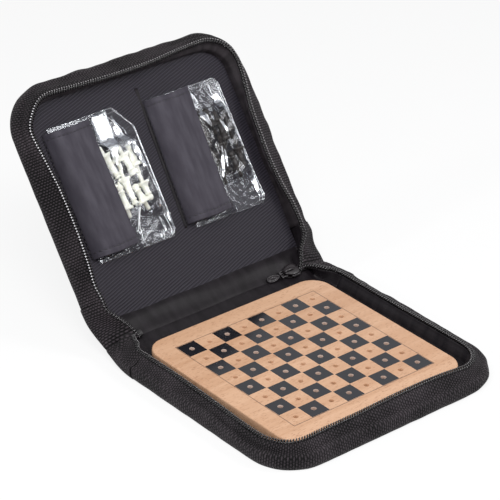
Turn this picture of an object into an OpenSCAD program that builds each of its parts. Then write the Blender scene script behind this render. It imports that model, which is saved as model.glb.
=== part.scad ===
// Zip-up travel chess set: a padded fabric case that opens like a book, with a
// wooden peg board in the base and two clear bags of peg pieces in the lid.
// Millimetres. Z is up, Y runs from the front edge to the fold, and the origin
// is the centre of the base's underside. The base lies flat and the lid leans back.

/* [Case] */
// Thickness of the case when it is zipped shut
case_t = 24.6; // [23.6:0.2:30]
// Outer corner radius of the two halves
corner_r = 24; // [20:1:28]
// Radius of the soft edge round the underside
edge_r = 3.5; // [3:0.1:4.5]
// Distance from the outer edge in to the zip's tape
rim_in = 7.55; // [6.8:0.05:9]
// Step left between the zip's coil and the cover's rim
rim_step = 1.0; // [0.9:0.1:2]
// Distance from each fold line back to the wall ends and inner layers
fold_back = 2.4; // [2.4:0.1:4]

/* [Fabric and padding] */
// Thickness of the woven outer cover
cover_t = 1.2; // [0.8:0.1:1.4]
// Thickness of the stiffening boards
board_stiff_t = 1.0; // [0.6:0.1:1.2]
// Thickness of the padding under the tray
base_pad_t = 1.8; // [1:0.1:2.2]
// Thickness of the padding in the lid
lid_pad_t = 1.0; // [0.6:0.1:2]
// Thickness of the lining
lining_t = 0.6; // [0.4:0.1:0.8]

/* [Zip] */
// Radius of the zip's nylon coil
coil_r = 0.8; // [0.6:0.05:0.9]
// Gap left between the two coils when the case is shut
coil_gap = 1.0; // [0.6:0.1:2]
// Thickness of the zip's tape
tape_t = 0.6; // [0.4:0.1:0.8]
// Length of tape between the coil and the tape's sewn edge
tape_h = 2.2; // [1.8:0.1:3]
// Radius of the inward turn at the zip's ends
curl_r = 8; // [7:0.5:9]
// Length of the slider
slider_l = 9; // [8:0.5:11]
// Width of the slider
slider_w = 7.2; // [6.6:0.2:8]
// Thickness of the slider
slider_t = 3.4; // [3.2:0.1:3.6]
// Length of the pull tab from its pin to its end
tab_l = 9; // [8:0.5:14]
// Width of the pull tab
tab_w = 4.4; // [4:0.2:5]
// Thickness of the pull tab
tab_t = 1.2; // [0.8:0.1:1.4]
// Distance from the case's side to the slider's mouth
slider_in = 19.7; // [18:0.1:30]

/* [Fold] */
// Angle of the spine above the table
spine_tilt = 23; // [5:1:60]
// Angle of the lid above the spine
lid_tilt = 30; // [5:1:60]

/* [Board] */
// Thickness of the board
board_t = 6.4; // [6:0.1:7]
// How much tighter the board's corners are than the zip's inside corners
board_round = 4.35; // [3.2:0.05:4.6]
// Side of one square
square = 11; // [10:0.25:12]
// Width of the plain border round the squares
board_border = 11.5; // [9:0.5:14]
// Width of the gap between dark squares at their corners
square_gap = 0.3; // [0.2:0.05:0.5]
// Depth of the dark squares' inlay
inlay_t = 0.4; // [0.3:0.05:0.6]
// Gap between the board and the zip's coil on the left
board_gap_x = 3.75; // [1:0.25:6]
// Gap between the board and the zip's coil on the right, for a fingertip
board_gap_right = 10.95; // [9:0.05:16]
// Gap between the board and the zip's coil in front
board_gap_y = 0.4; // [0.3:0.05:1]
// Distance from the board's back edge and the coil's width to the fold line
board_gap_back = 5.35; // [4.5:0.05:10]
// Diameter of the peg holes
hole_d = 2.3; // [2.1:0.05:2.6]
// Depth of the peg holes
hole_depth = 5; // [4.8:0.1:5.2]

/* [Pieces] */
// Diameter of a piece's foot
foot_d = 6.8; // [6:0.1:7.2]
// Clearance of a peg in its hole, on the radius
peg_gap = 0.1; // [0.06:0.02:0.2]
// Length of a peg
peg_l = 4.4; // [3.8:0.1:4.6]
// Height of the king above its peg
king_h = 15.5; // [14:0.5:16]

/* [Bags and pockets] */
// Length of a bag along the lid
bag_l = 72; // [71:1:76]
// Width of a bag across the lid
bag_w = 45; // [44.5:0.5:46]
// Thickness of the clear film
film_t = 0.2; // [0.15:0.05:0.3]
// Corner radius of a bag
bag_r = 3; // [2:0.5:5]
// Distance from the lid's fold line to the bags
bag_from_fold = 30; // [24:1:34]
// Width of a pocket patch from its sewn edge to its open edge
pocket_w = 24; // [18:1:28]
// Length of a pocket patch along the lid
pocket_l = 66; // [56:1:70]
// Thickness of a pocket patch with its hem
pocket_t = 0.5; // [0.3:0.1:0.8]
// Width of the sewn hem beside the bag
pocket_hem = 3; // [2.5:0.5:4]
// Gap between a bag and what lies over or under it
bag_gap = 0.3; // [0.2:0.05:0.5]
// Distance from the lid's side wall to the left pocket's sewn edge
pocket_side = 7.5; // [7:0.5:9]
// Gap between the right bag and the zip's coil
bag_right_gap = 10.3; // [9:0.1:16]

/* [Hidden] */
$fn = 64;

cover_color = [0.10, 0.09, 0.10];
lining_color = [0.22, 0.20, 0.24];
tape_color = [0.15, 0.14, 0.16];
coil_color = [0.30, 0.29, 0.31];
pocket_color = [0.42, 0.41, 0.44];
film_color = [0.85, 0.88, 0.92, 0.4];
wood_color = [0.87, 0.72, 0.55];
dark_color = [0.17, 0.18, 0.22];
ivory_color = [0.93, 0.90, 0.80];
black_color = [0.06, 0.06, 0.07];
stiff_color = [0.35, 0.32, 0.30];
pad_color = [0.55, 0.55, 0.58];

// The board fills the base's tray, so the case takes its width and depth from it.
squares = 8;
board_side = squares * square + 2 * board_border;
coil_in = rim_in + tape_t / 2;
coil_edge = coil_in + coil_r;
case_w = 2 * coil_edge + board_gap_x + board_side + board_gap_right;
case_d = coil_edge + board_gap_y + board_side + board_gap_back;

// Case halves: hw and hd are half the width and half the depth.
hw = case_w / 2;
hd = case_d / 2;
wall_end = hd - fold_back;
coil_z = case_t / 2 - coil_gap / 2 - coil_r;
cover_z = coil_z - rim_step;
// The cover's wall leans in from its soft edge, tangent to it, to the rim.
lean_x = -(rim_in - tape_t - edge_r);
lean_z = cover_z - edge_r;
lean = atan2(lean_z, lean_x) - acos(edge_r / norm([lean_x, lean_z]));
tape_low = coil_z - coil_r - tape_h;
base_floor = cover_t + board_stiff_t + base_pad_t + lining_t;
lid_floor = cover_t + board_stiff_t + lid_pad_t + lining_t;
// Each inner layer is cut back from the soft edge by this much.
layer_in = edge_r + 0.1;
pad_in = cover_t + 0.8;
lining_in = cover_t + 0.5;
// The lining's wall stands off the cover's by this much.
skin_gap = 0.04;

// Folds: both fold lines run at the top of the cover.
spine_l = case_t - 2 * cover_t;
spine_in = 0.5;
gusset_w = 6;
fold_y = hd + spine_l * cos(spine_tilt);
fold_z = cover_t + spine_l * sin(spine_tilt);

// Where the zip turns in at its two ends, just inside the spine.
turn_y = hd - board_stiff_t - lining_t - 0.3 - slider_t / 2;
curl_y = turn_y - curl_r;
stop_w = 1.6;

// Slider: it lies on the spine's lining, halfway up, with its mouth to the right.
slider_x = hw - slider_in - slider_l;
slider_h = board_stiff_t + lining_t + slider_t / 2;
plate_t = 0.7;
slider_flange = 0.7;
pin_r = 0.6;
pin_gap = 0.25;
pin_side = 0.3;
eye_wall = 0.5;
eye_r = pin_r + pin_gap + eye_wall;
eye_w = 2.0;
ear_t = 0.8;
ear_y = eye_w / 2 + pin_side;
ear_r = pin_r + 0.3;
pin_out = eye_r + 0.35;
tab_gap = 0.4;
tab_reach = tab_l - tab_w / 2;
tab_neck = eye_r + pin_side + 0.6;
tab_drop = asin((slider_t / 2 - tab_t / 2 - tab_gap) / tab_l);

// Board, set against the left and front of the tray.
board_x = -hw + coil_edge + board_gap_x + board_side / 2;
board_y = -hd + coil_edge + board_gap_y + board_side / 2;
board_top = base_floor + board_t;
board_r = corner_r - coil_edge - board_round;

// Bags and pockets, in the lid's own plan, where x is across and y from the fold.
pocket_x = -hw + rim_in + pocket_side;
bag_x = pocket_x + pocket_hem;
bag_step = hw - coil_edge - bag_right_gap - bag_w - bag_x;
bag_z = lid_floor + bag_gap;
film_gap = 0.1;
bag_h = foot_d + 2 * film_t + 2 * film_gap;
pocket_y = bag_from_fold + (bag_l - pocket_l) / 2;
pocket_z = bag_z + bag_h + bag_gap;
pocket_fold = 1.2;
seam_t = 0.4;
seam_w = 1.2;

// Pieces: the foot and peg are shared, and heights follow the king's.
peg_r = hole_d / 2 - peg_gap;
rows = 8;
row_step = (bag_l - 2 * film_t - 1) / rows;
col_step = (bag_w - 2 * film_t) / 2;
piece_z = bag_z + film_t + film_gap + foot_d / 2;

// ---- Shapes shared by both halves ----

// Point on the wall at a depth t below the outer face, where the wall is straight.
function lean_start(t) = [edge_r - (edge_r - t) * cos(lean), edge_r + (edge_r - t) * sin(lean)];
// The same line followed in to a given inset.
function lean_at(t, inset) = [inset,
  lean_start(t)[1] + (inset - lean_start(t)[0]) / tan(lean)];
// Points round the soft edge at a depth t, from angle a up to the lean.
function edge_arc(t, a, n = 8) = [for (k = [0:n]) let (b = a + (lean - a) * k / n)
  [edge_r - (edge_r - t) * cos(b), edge_r + (edge_r - t) * sin(b)]];
function back(list) = [for (k = [len(list) - 1:-1:0]) list[k]];
// Angle on the soft edge at a depth t where it passes a height z.
function edge_angle(t, z) = asin((z - edge_r) / (edge_r - t));

// Section of the outer cover's wall: x is the inset from the outer edge.
module cover_section() {
  polygon(concat(edge_arc(0, -90), [[rim_in - tape_t, cover_z], [rim_in, cover_z],
    lean_at(cover_t, rim_in)], back(edge_arc(cover_t, -90))));
}

// Section of the lining's wall, from a height z up to the zip's tape.
module lining_section(z) {
  t0 = cover_t + skin_gap;
  t1 = t0 + lining_t;
  polygon(concat(edge_arc(t0, edge_angle(t0, z)), [lean_at(t0, rim_in),
    lean_at(t1, rim_in)], back(edge_arc(t1, edge_angle(t1, z)))));
}

module tape_section() {
  translate([rim_in, tape_low]) square([tape_t, coil_z - coil_r + 0.004 - tape_low]);
}

module coil_section() {
  translate([coil_in, coil_z]) circle(r = coil_r, $fn = 32);
}

// Carries a section along the left, front and right edges up to y = end.
module round_three_sides(end) {
  for (s = [0, 1]) mirror([s, 0, 0]) {
    translate([-hw, end, 0]) rotate([90, 0, 0])
      linear_extrude(end + hd - corner_r) children();
    translate([-hw + corner_r, -hd + corner_r, 0]) rotate([0, 0, 180])
      rotate_extrude(angle = 90) translate([corner_r, 0]) mirror([1, 0]) children();
  }
  translate([-hw + corner_r, -hd, 0]) rotate([90, 0, 90])
    linear_extrude(case_w - 2 * corner_r) children();
}

// Turns a section inward at the zip's left (side 0) or right (side 1) end.
module turn_in(side, angle) {
  mirror([side, 0, 0]) translate([-hw + coil_in + curl_r, curl_y, 0]) mirror([0, 1, 0])
    rotate([0, 0, 180]) rotate_extrude(angle = angle)
      translate([curl_r + coil_in, 0]) mirror([1, 0]) children();
}

// Flat layer with two round front corners, inset from the outer edge.
module layer(inset, z, t, end) {
  r = corner_r - inset;
  x = hw - inset;
  y = hd - inset;
  translate([0, 0, z]) linear_extrude(t) {
    translate([-x, -y + r]) square([2 * x, end + y - r]);
    translate([-x + r, -y]) square([2 * (x - r), r + 0.01]);
    for (s = [-1, 1]) translate([s * (x - r), -y + r]) circle(r);
  }
}

module cover_half() {
  layer(edge_r, 0, cover_t, hd);
  round_three_sides(wall_end) cover_section();
}

module lining_half(floor_z) {
  layer(lining_in, floor_z - lining_t, lining_t, wall_end);
  round_three_sides(wall_end) lining_section(floor_z - lining_t);
}

// A zip strip: its run along the rim and the inward turns at its two ends.
module zip_strip(left_turn, right_turn) {
  round_three_sides(curl_y) children();
  turn_in(0, left_turn) children();
  turn_in(1, right_turn) children();
}

// Places lid parts, drawn as a second tray, on the lid's fold line.
module on_lid() {
  translate([0, fold_y, fold_z]) rotate([spine_tilt + lid_tilt, 0, 0])
    translate([0, hd, -cover_t]) mirror([0, 1, 0]) children();
}

// Places lid parts by their own plan: x across, y up from the fold line.
module on_lid_plan() {
  translate([0, fold_y, fold_z]) rotate([spine_tilt + lid_tilt, 0, 0])
    translate([0, 0, -cover_t]) children();
}

module on_spine() {
  translate([0, hd, cover_t]) rotate([spine_tilt, 0, 0]) children();
}

// ---- Base ----

module base_cover() color(cover_color) cover_half();

module base_stiffener() color(stiff_color) layer(layer_in, cover_t, board_stiff_t, wall_end);

module base_padding() color(pad_color)
  layer(pad_in, cover_t + board_stiff_t, base_pad_t, wall_end);

module base_lining() color(lining_color) lining_half(base_floor);

module base_zip_tape() color(tape_color) zip_strip(90, 90) tape_section();

module base_zip_coil() color(coil_color) zip_strip(90, 90) coil_section();

// Sewn stop that closes the left end of the zip.
module base_zip_stop() color(tape_color)
  translate([-hw + coil_in + curl_r, turn_y - 1, tape_low])
    cube([stop_w, 2, case_t / 2 + 1.1 - tape_low]);

// ---- Spine ----

// The spine's cover: flat, with the two halves' soft edge carried along its ends.
module spine_cover() color(cover_color) on_spine() {
  rise = board_stiff_t + lining_t;
  top = edge_angle(0, cover_t + rise);
  translate([-hw + edge_r, 0, -cover_t]) cube([case_w - 2 * edge_r, spine_l, cover_t]);
  for (s = [0, 1]) mirror([s, 0, 0])
    translate([-hw, spine_l - spine_in, -cover_t]) rotate([90, 0, 0])
      linear_extrude(spine_l - 2 * spine_in) polygon(concat(
        [for (k = [0:6]) let (b = -90 + (top + 90) * k / 6)
          [edge_r - edge_r * cos(b), edge_r + edge_r * sin(b)]],
        [[edge_r, cover_t + rise], [edge_r, 0]]));
}

module spine_stiffener() color(stiff_color) on_spine()
  translate([-hw + layer_in, spine_in, 0])
    cube([case_w - 2 * layer_in, spine_l - 2 * spine_in, board_stiff_t]);

module spine_lining() color(lining_color) on_spine()
  translate([-hw + layer_in + gusset_w, spine_in, board_stiff_t])
    cube([case_w - 2 * (layer_in + gusset_w), spine_l - 2 * spine_in, lining_t]);

// Folded gusset between the ends of the two zips.
module gusset(side) on_spine() mirror([side, 0, 0])
  translate([-hw + layer_in, spine_in, board_stiff_t])
    cube([gusset_w, spine_l - 2 * spine_in, lining_t]);

module spine_gusset_left() color(cover_color) gusset(0);

module spine_gusset_right() color(cover_color) gusset(1);

// Places zip end parts: x from the slider's nose, y up the spine, z from the slider's middle.
module on_slider() on_spine() translate([slider_x, spine_l / 2, slider_h]) children();

// Slider: two plates joined by flanges and a nose, with two ears that hold the tab's pin.
module zip_slider() color([0.16, 0.14, 0.17]) on_slider() {
  r = slider_w / 2;
  for (z = [-slider_t / 2, slider_t / 2 - plate_t]) translate([0, 0, z])
    linear_extrude(plate_t) {
      translate([r, 0]) circle(r);
      translate([r, -r]) square([slider_l - r, slider_w]);
    }
  for (s = [0, 1]) mirror([0, s, 0]) {
    translate([r, r - slider_flange, -slider_t / 2])
      cube([slider_l * 0.4, slider_flange, slider_t]);
    translate([-pin_out - ear_r, ear_y, -ear_r])
      cube([pin_out + ear_r + 1.6, ear_t, 2 * ear_r]);
  }
  translate([1.2, -ear_y - ear_t, -slider_t / 2]) cube([1.4, 2 * (ear_y + ear_t), slider_t]);
  translate([-pin_out, ear_y + ear_t / 2, 0]) rotate([90, 0, 0])
    cylinder(r = pin_r, h = 2 * ear_y + ear_t);
}

// Pull tab: an eye on the slider's pin and a paddle that rests just above the lining.
module zip_pull_tab() color([0.12, 0.11, 0.13]) on_slider() translate([-pin_out, 0, 0])
  rotate([0, -tab_drop, 0]) difference() {
    union() {
      translate([0, eye_w / 2, 0]) rotate([90, 0, 0]) cylinder(r = eye_r, h = eye_w);
      translate([0, 0, -tab_t / 2]) linear_extrude(tab_t) {
        translate([-tab_neck - 0.5, -eye_w / 2]) square([tab_neck + 0.5, eye_w]);
        translate([-tab_reach, 0]) circle(d = tab_w);
        translate([-tab_reach, -tab_w / 2]) square([tab_reach - tab_neck, tab_w]);
      }
    }
    translate([0, eye_w, 0]) rotate([90, 0, 0]) cylinder(r = pin_r + pin_gap, h = 2 * eye_w);
  }

// ---- Lid ----

module lid_cover() color(cover_color) on_lid() cover_half();

module lid_stiffener() color(stiff_color) on_lid()
  layer(layer_in, cover_t, board_stiff_t, wall_end);

module lid_padding() color(pad_color) on_lid()
  layer(pad_in, cover_t + board_stiff_t, lid_pad_t, wall_end);

module lid_lining() color(lining_color) on_lid() lining_half(lid_floor);

module lid_zip_tape() color(tape_color) on_lid() zip_strip(90, 40) tape_section();

module lid_zip_coil() color(coil_color) on_lid() zip_strip(90, 40) coil_section();

// Raised seam up the middle of the lid, beside the right pocket's sewn edge.
module lid_seam() color(lining_color) on_lid_plan()
  translate([pocket_x + bag_step - seam_w - 0.4, bag_from_fold, lid_floor])
    cube([seam_w, case_d - coil_edge - bag_from_fold - 1, seam_t]);

// Pocket patch: sewn down along its left edge, then lying over the bag.
module pocket(x) on_lid_plan() translate([x, pocket_y + pocket_l, 0]) rotate([90, 0, 0])
  linear_extrude(pocket_l) polygon([[0, lid_floor], [pocket_hem * 0.4, lid_floor],
    [pocket_hem - bag_gap, lid_floor + pocket_fold], [pocket_hem - bag_gap, pocket_z],
    [pocket_w, pocket_z], [pocket_w, pocket_z + pocket_t],
    [pocket_hem - bag_gap - pocket_t * 0.4, pocket_z + pocket_t],
    [pocket_hem - bag_gap - pocket_t, pocket_z], [pocket_hem - bag_gap - pocket_t, lid_floor + pocket_fold + 0.2],
    [0, lid_floor + pocket_t]]);

module left_pocket() color(pocket_color) pocket(pocket_x);

module right_pocket() color(pocket_color) pocket(pocket_x + bag_step);

// ---- Board ----

module square_centres(parity) {
  for (i = [0:7], j = [0:7]) if ((i + j) % 2 == parity || parity == 2)
    translate([board_x + (i - 3.5) * square, board_y + (j - 3.5) * square, 0]) children();
}

module board() color(wood_color) difference() {
  translate([board_x, board_y, base_floor]) linear_extrude(board_t) {
    square([board_side, board_side - 2 * board_r], center = true);
    square([board_side - 2 * board_r, board_side], center = true);
    for (i = [-1, 1], j = [-1, 1])
      translate([i, j] * (board_side / 2 - board_r)) circle(board_r);
  }
  square_centres(1) translate([0, 0, board_top - inlay_t / 2 + 0.5])
    cube([square - square_gap, square - square_gap, inlay_t + 1], center = true);
  square_centres(2) translate([0, 0, board_top - hole_depth])
    cylinder(d = hole_d, h = hole_depth + 1, $fn = 24);
}

module board_dark_squares() color(dark_color)
  square_centres(1) translate([0, 0, board_top - inlay_t]) linear_extrude(inlay_t)
    difference() {
      square(square - square_gap, center = true);
      circle(d = hole_d, $fn = 24);
    }

// ---- Pieces: each stands at the origin with its peg below z = 0 ----

foot_r = foot_d / 2;
// Foot and stem up to a height h, ending at a radius r.
function stem(h, r) = [[0, -peg_l], [peg_r * 0.7, -peg_l], [peg_r, 0.5 - peg_l], [peg_r, 0],
  [foot_r, 0], [foot_r, 1.0], [foot_r * 0.8, 1.5], [foot_r * 0.62, 2.1], [foot_r * 0.38, h * 0.45],
  [r * 0.72, h - 0.9], [r, h - 0.7], [r, h]];
// Points up the right side of a ball, with its centre at z.
function ball(r, z, from) = [for (k = [0:8]) let (a = from + (90 - from) * k / 8)
  [k == 8 ? 0 : r * cos(a), z + r * sin(a)]];

module turned(points) rotate_extrude($fn = 40) polygon(points);

module pawn() {
  h = king_h * 0.46;
  turned(concat(stem(h, foot_r * 0.56), ball(foot_r * 0.54, h + foot_r * 0.42, -50)));
}

module rook() {
  h = king_h * 0.6;
  w = foot_r * 0.7;
  difference() {
    turned(concat(stem(h, w), [[w, h + 2.2], [w * 0.55, h + 2.2], [w * 0.55, h + 1.1], [0, h + 1.1]]));
    for (a = [0, 90]) rotate([0, 0, a]) translate([-foot_r, -0.4, h + 1.3]) cube([foot_d, 0.8, 2]);
  }
}

module bishop() {
  h = king_h * 0.62;
  difference() {
    turned(concat(stem(h, foot_r * 0.56), [[foot_r * 0.34, h + 0.5], [foot_r * 0.52, h + 1.7],
      [foot_r * 0.36, h + 3.2], [foot_r * 0.16, h + 4.0]], ball(0.6, h + 4.3, -30)));
    translate([foot_r * 0.4, 0, h + 2.9]) rotate([0, -40, 0]) cube([foot_r * 0.8, foot_r, 0.5], center = true);
  }
}

module knight() {
  h = king_h * 0.28;
  turned([[0, -peg_l], [peg_r * 0.7, -peg_l], [peg_r, 0.5 - peg_l], [peg_r, 0], [foot_r, 0],
    [foot_r, 1.0], [foot_r * 0.8, 1.5], [foot_r * 0.64, 2.1], [foot_r * 0.66, h + 0.2], [0, h + 0.2]]);
  translate([0, 1.3, h]) rotate([90, 0, 0]) linear_extrude(2.6) polygon([[-2, 0], [2, 0],
    [1.6, 1.6], [1.1, 2.8], [2.7, 3.4], [2.9, 4.4], [1.4, 6.2], [0.5, 7.4], [0.1, 6.7],
    [-1.3, 5.8], [-2.1, 4.0], [-2.2, 2.0]]);
}

module queen() {
  h = king_h * 0.78;
  turned(concat(stem(h, foot_r * 0.5), [[foot_r * 0.36, h + 0.4], [foot_r * 0.66, h + 2.0],
    [foot_r * 0.42, h + 1.9]], ball(0.75, h + 2.3, -20)));
}

module king() {
  h = king_h * 0.78;
  top = king_h - 2.2;
  turned(concat(stem(h, foot_r * 0.52), [[foot_r * 0.38, h + 0.4], [foot_r * 0.6, top - 0.2],
    [0, top + 0.3]]));
  translate([-0.35, -0.35, top - 0.1]) cube([0.7, 0.7, 2.3]);
  translate([-0.95, -0.35, top + 0.8]) cube([1.9, 0.7, 0.7]);
}

// Puts a piece of height h in row j and column i of a bag, lying down.
// Neighbouring rows point opposite ways, and each row is turned a little.
module in_bag(bag, i, j, h) {
  flip = (i + j) % 2;
  turn = 5 * sin(137 * (j + 1) + 50 * i);
  on_lid_plan() translate([bag_x + bag * bag_step + film_t + (i + 0.5) * col_step,
      bag_from_fold + film_t + 0.5 + (j + 0.5) * row_step, piece_z])
    rotate([0, 0, 180 * flip + turn]) rotate([0, 90, 0]) rotate([0, 0, 90])
      translate([0, 0, -(h - peg_l) / 2]) children();
}

module kings(bag) in_bag(bag, 1, 5, king_h) king();

module queens(bag) in_bag(bag, 1, 2, king_h * 0.78 + 3.1) queen();

module bishops(bag) for (c = [[1, 0], [0, 4]]) in_bag(bag, c[0], c[1], king_h * 0.62 + 4.9) bishop();

module knights(bag) for (c = [[1, 3], [0, 1]]) in_bag(bag, c[0], c[1], king_h * 0.28 + 7.4) knight();

module rooks(bag) for (c = [[1, 7], [0, 6]]) in_bag(bag, c[0], c[1], king_h * 0.6 + 2.2) rook();

module pawns(bag) for (c = [[1, 1], [1, 4], [1, 6], [0, 0], [0, 2], [0, 3], [0, 5], [0, 7]])
  in_bag(bag, c[0], c[1], king_h * 0.46 + foot_r) pawn();

// A closed clear bag: a thin film all round a flat hollow.
module bag_plan(inset) {
  r = bag_r - inset;
  x0 = bag_x + inset;
  y0 = bag_from_fold + inset;
  w = bag_w - 2 * inset;
  l = bag_l - 2 * inset;
  translate([x0 + r, y0]) square([w - 2 * r, l]);
  translate([x0, y0 + r]) square([w, l - 2 * r]);
  for (x = [x0 + r, x0 + w - r], y = [y0 + r, y0 + l - r]) translate([x, y]) circle(r, $fn = 32);
}

module bag(n) on_lid_plan() translate([n * bag_step, 0, bag_z]) difference() {
  linear_extrude(bag_h) bag_plan(0);
  translate([0, 0, film_t]) linear_extrude(bag_h - 2 * film_t) bag_plan(film_t);
}

module white_bag() color(film_color) bag(0);
module white_king() color(ivory_color) kings(0);
module white_queen() color(ivory_color) queens(0);
module white_bishops() color(ivory_color) bishops(0);
module white_knights() color(ivory_color) knights(0);
module white_rooks() color(ivory_color) rooks(0);
module white_pawns() color(ivory_color) pawns(0);

module black_bag() color(film_color) bag(1);
module black_king() color(black_color) kings(1);
module black_queen() color(black_color) queens(1);
module black_bishops() color(black_color) bishops(1);
module black_knights() color(black_color) knights(1);
module black_rooks() color(black_color) rooks(1);
module black_pawns() color(black_color) pawns(1);

base_cover();
base_stiffener();
base_padding();
base_lining();
base_zip_tape();
base_zip_coil();
base_zip_stop();
spine_cover();
spine_stiffener();
spine_lining();
spine_gusset_left();
spine_gusset_right();
zip_slider();
zip_pull_tab();
lid_cover();
lid_stiffener();
lid_padding();
lid_lining();
lid_zip_tape();
lid_zip_coil();
lid_seam();
left_pocket();
right_pocket();
board();
board_dark_squares();
white_bag();
white_king();
white_queen();
white_bishops();
white_knights();
white_rooks();
white_pawns();
black_bag();
black_king();
black_queen();
black_bishops();
black_knights();
black_rooks();
black_pawns();
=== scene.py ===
"""Travel chess in a zippered cloth case.

A soft case with its zip, linings and pockets, two bags of pieces and a peg board. Lengths are
in millimetres until a mesh is built, in metres.
"""

import logging
import math
from dataclasses import dataclass, field
from enum import Enum
from typing import Callable, Iterable, Optional, Sequence

import bmesh
import bpy
import numpy as np
from bpy.types import ID, Material, Mesh, Node, NodeSocket, Object
from mathutils import Matrix, Vector

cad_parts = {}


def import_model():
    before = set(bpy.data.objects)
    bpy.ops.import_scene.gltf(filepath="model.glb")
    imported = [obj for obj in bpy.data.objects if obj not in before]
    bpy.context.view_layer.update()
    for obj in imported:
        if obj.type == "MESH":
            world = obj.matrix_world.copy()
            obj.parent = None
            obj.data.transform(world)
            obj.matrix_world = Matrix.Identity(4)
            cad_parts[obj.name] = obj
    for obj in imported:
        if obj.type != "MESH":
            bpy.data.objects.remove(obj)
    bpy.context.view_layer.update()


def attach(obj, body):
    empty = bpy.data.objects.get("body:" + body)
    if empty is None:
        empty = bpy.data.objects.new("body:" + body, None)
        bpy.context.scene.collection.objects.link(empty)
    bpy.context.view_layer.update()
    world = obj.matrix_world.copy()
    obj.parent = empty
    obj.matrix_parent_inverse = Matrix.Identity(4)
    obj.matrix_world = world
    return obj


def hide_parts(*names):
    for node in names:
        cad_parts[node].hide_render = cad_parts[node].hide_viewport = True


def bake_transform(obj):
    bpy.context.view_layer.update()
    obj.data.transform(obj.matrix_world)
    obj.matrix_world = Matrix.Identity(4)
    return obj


LOG = logging.getLogger("travel_chess")
MM = 0.001
Points = np.ndarray
Move = Callable[[Points], Points]
Outline = list[tuple[float, float]]


# ---- small mathematics


def ease(low: float, high: float, x: Points) -> Points:
    """Rises smoothly from 0 at low to 1 at high."""
    t = np.clip((np.asarray(x, float) - low) / (high - low), 0, 1)
    return t * t * (3 - 2 * t)


def unit(v: Points) -> Points:
    """Scales each vector to length 1."""
    return v / np.maximum(np.linalg.norm(v, axis=-1, keepdims=True), 1e-12)


def lengths_along(path: Points) -> Points:
    """Distance from the start to each point of a path."""
    return np.r_[0, np.cumsum(np.linalg.norm(np.diff(path, axis=0), axis=1))]


def respaced(path: Points, step: float) -> Points:
    """A path with its points an even step apart.

    Args:
        path: its points.
        step: the distance aimed at.

    Returns:
        The new points.
    """
    s = lengths_along(path)
    even = np.linspace(0, s[-1], max(2, int(round(s[-1] / step)) + 1))
    return np.stack([np.interp(even, s, path[:, k]) for k in range(path.shape[1])], 1)


def paired(a: Points, b: Points) -> Points:
    """Two grids of values as one grid of pairs, each spread to the other's shape."""
    return np.stack(np.broadcast_arrays(a, b), -1)


class Run:
    """A smooth curve of one or more values through a few knots, held level past its ends."""

    def __init__(self, *knots: Sequence[float]) -> None:
        """Args:
            knots: each is a position followed by its values, in any order.
        """
        k = np.array(sorted(tuple(map(float, q)) for q in knots))
        self.x, self.y = k[:, 0], k[:, 1:]
        self.slope = np.gradient(self.y, self.x, axis=0)
        self.slope[[0, -1]] = 0

    def __call__(self, x: Points) -> Points:
        """Values of the curve.

        Args:
            x: the positions.

        Returns:
            One row of values for each position.
        """
        x = np.clip(np.atleast_1d(np.asarray(x, float)), self.x[0], self.x[-1])
        i = np.clip(np.searchsorted(self.x, x) - 1, 0, len(self.x) - 2)
        h = (self.x[i + 1] - self.x[i])[:, None]
        t = (x - self.x[i])[:, None] / h
        a, b = self.y[i], self.y[i + 1]
        m, n = self.slope[i] * h, self.slope[i + 1] * h
        return (
            (2 * t**3 - 3 * t**2 + 1) * a
            + (t**3 - 2 * t**2 + t) * m
            + (3 * t**2 - 2 * t**3) * b
            + (t**3 - t**2) * n
        )


def through(knots: Sequence[Sequence[float]], count: int) -> Points:
    """A smooth row of count points through a few knots."""
    return Run(*[(k, *q) for k, q in enumerate(knots)])(np.linspace(0, len(knots) - 1, count))


def blunt(wave: Points, power: float) -> Points:
    """A sine or cosine pushed outward, so that an oval turns squarer."""
    return np.sign(wave) * np.abs(wave) ** power


class Ripple:
    """Seeded soft unevenness in space, from waves of many lengths."""

    def __init__(
        self, seed: int, shortest: float, longest: float, waves: int = 18, high: float = 1.0
    ) -> None:
        """Args:
            seed: picks the pattern.
            shortest: shortest wave in millimetres.
            longest: longest wave in millimetres.
            waves: how many waves are added.
            high: about how high the unevenness is.
        """
        self.high = high
        rng = np.random.default_rng(seed)
        length = np.exp(rng.uniform(math.log(shortest), math.log(longest), waves))
        self.k = unit(rng.normal(size=(waves, 3))) * (2 * math.pi / length)[:, None]
        self.phase = rng.uniform(0, 2 * math.pi, waves)
        size = length**0.7
        self.size = size / math.sqrt((size**2).sum() / 2)

    def __call__(self, p: Points) -> Points:
        """Height at each point, given in millimetres."""
        return self.high * (np.sin(p @ self.k.T + self.phase) @ self.size)


# ---- meshes


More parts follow.
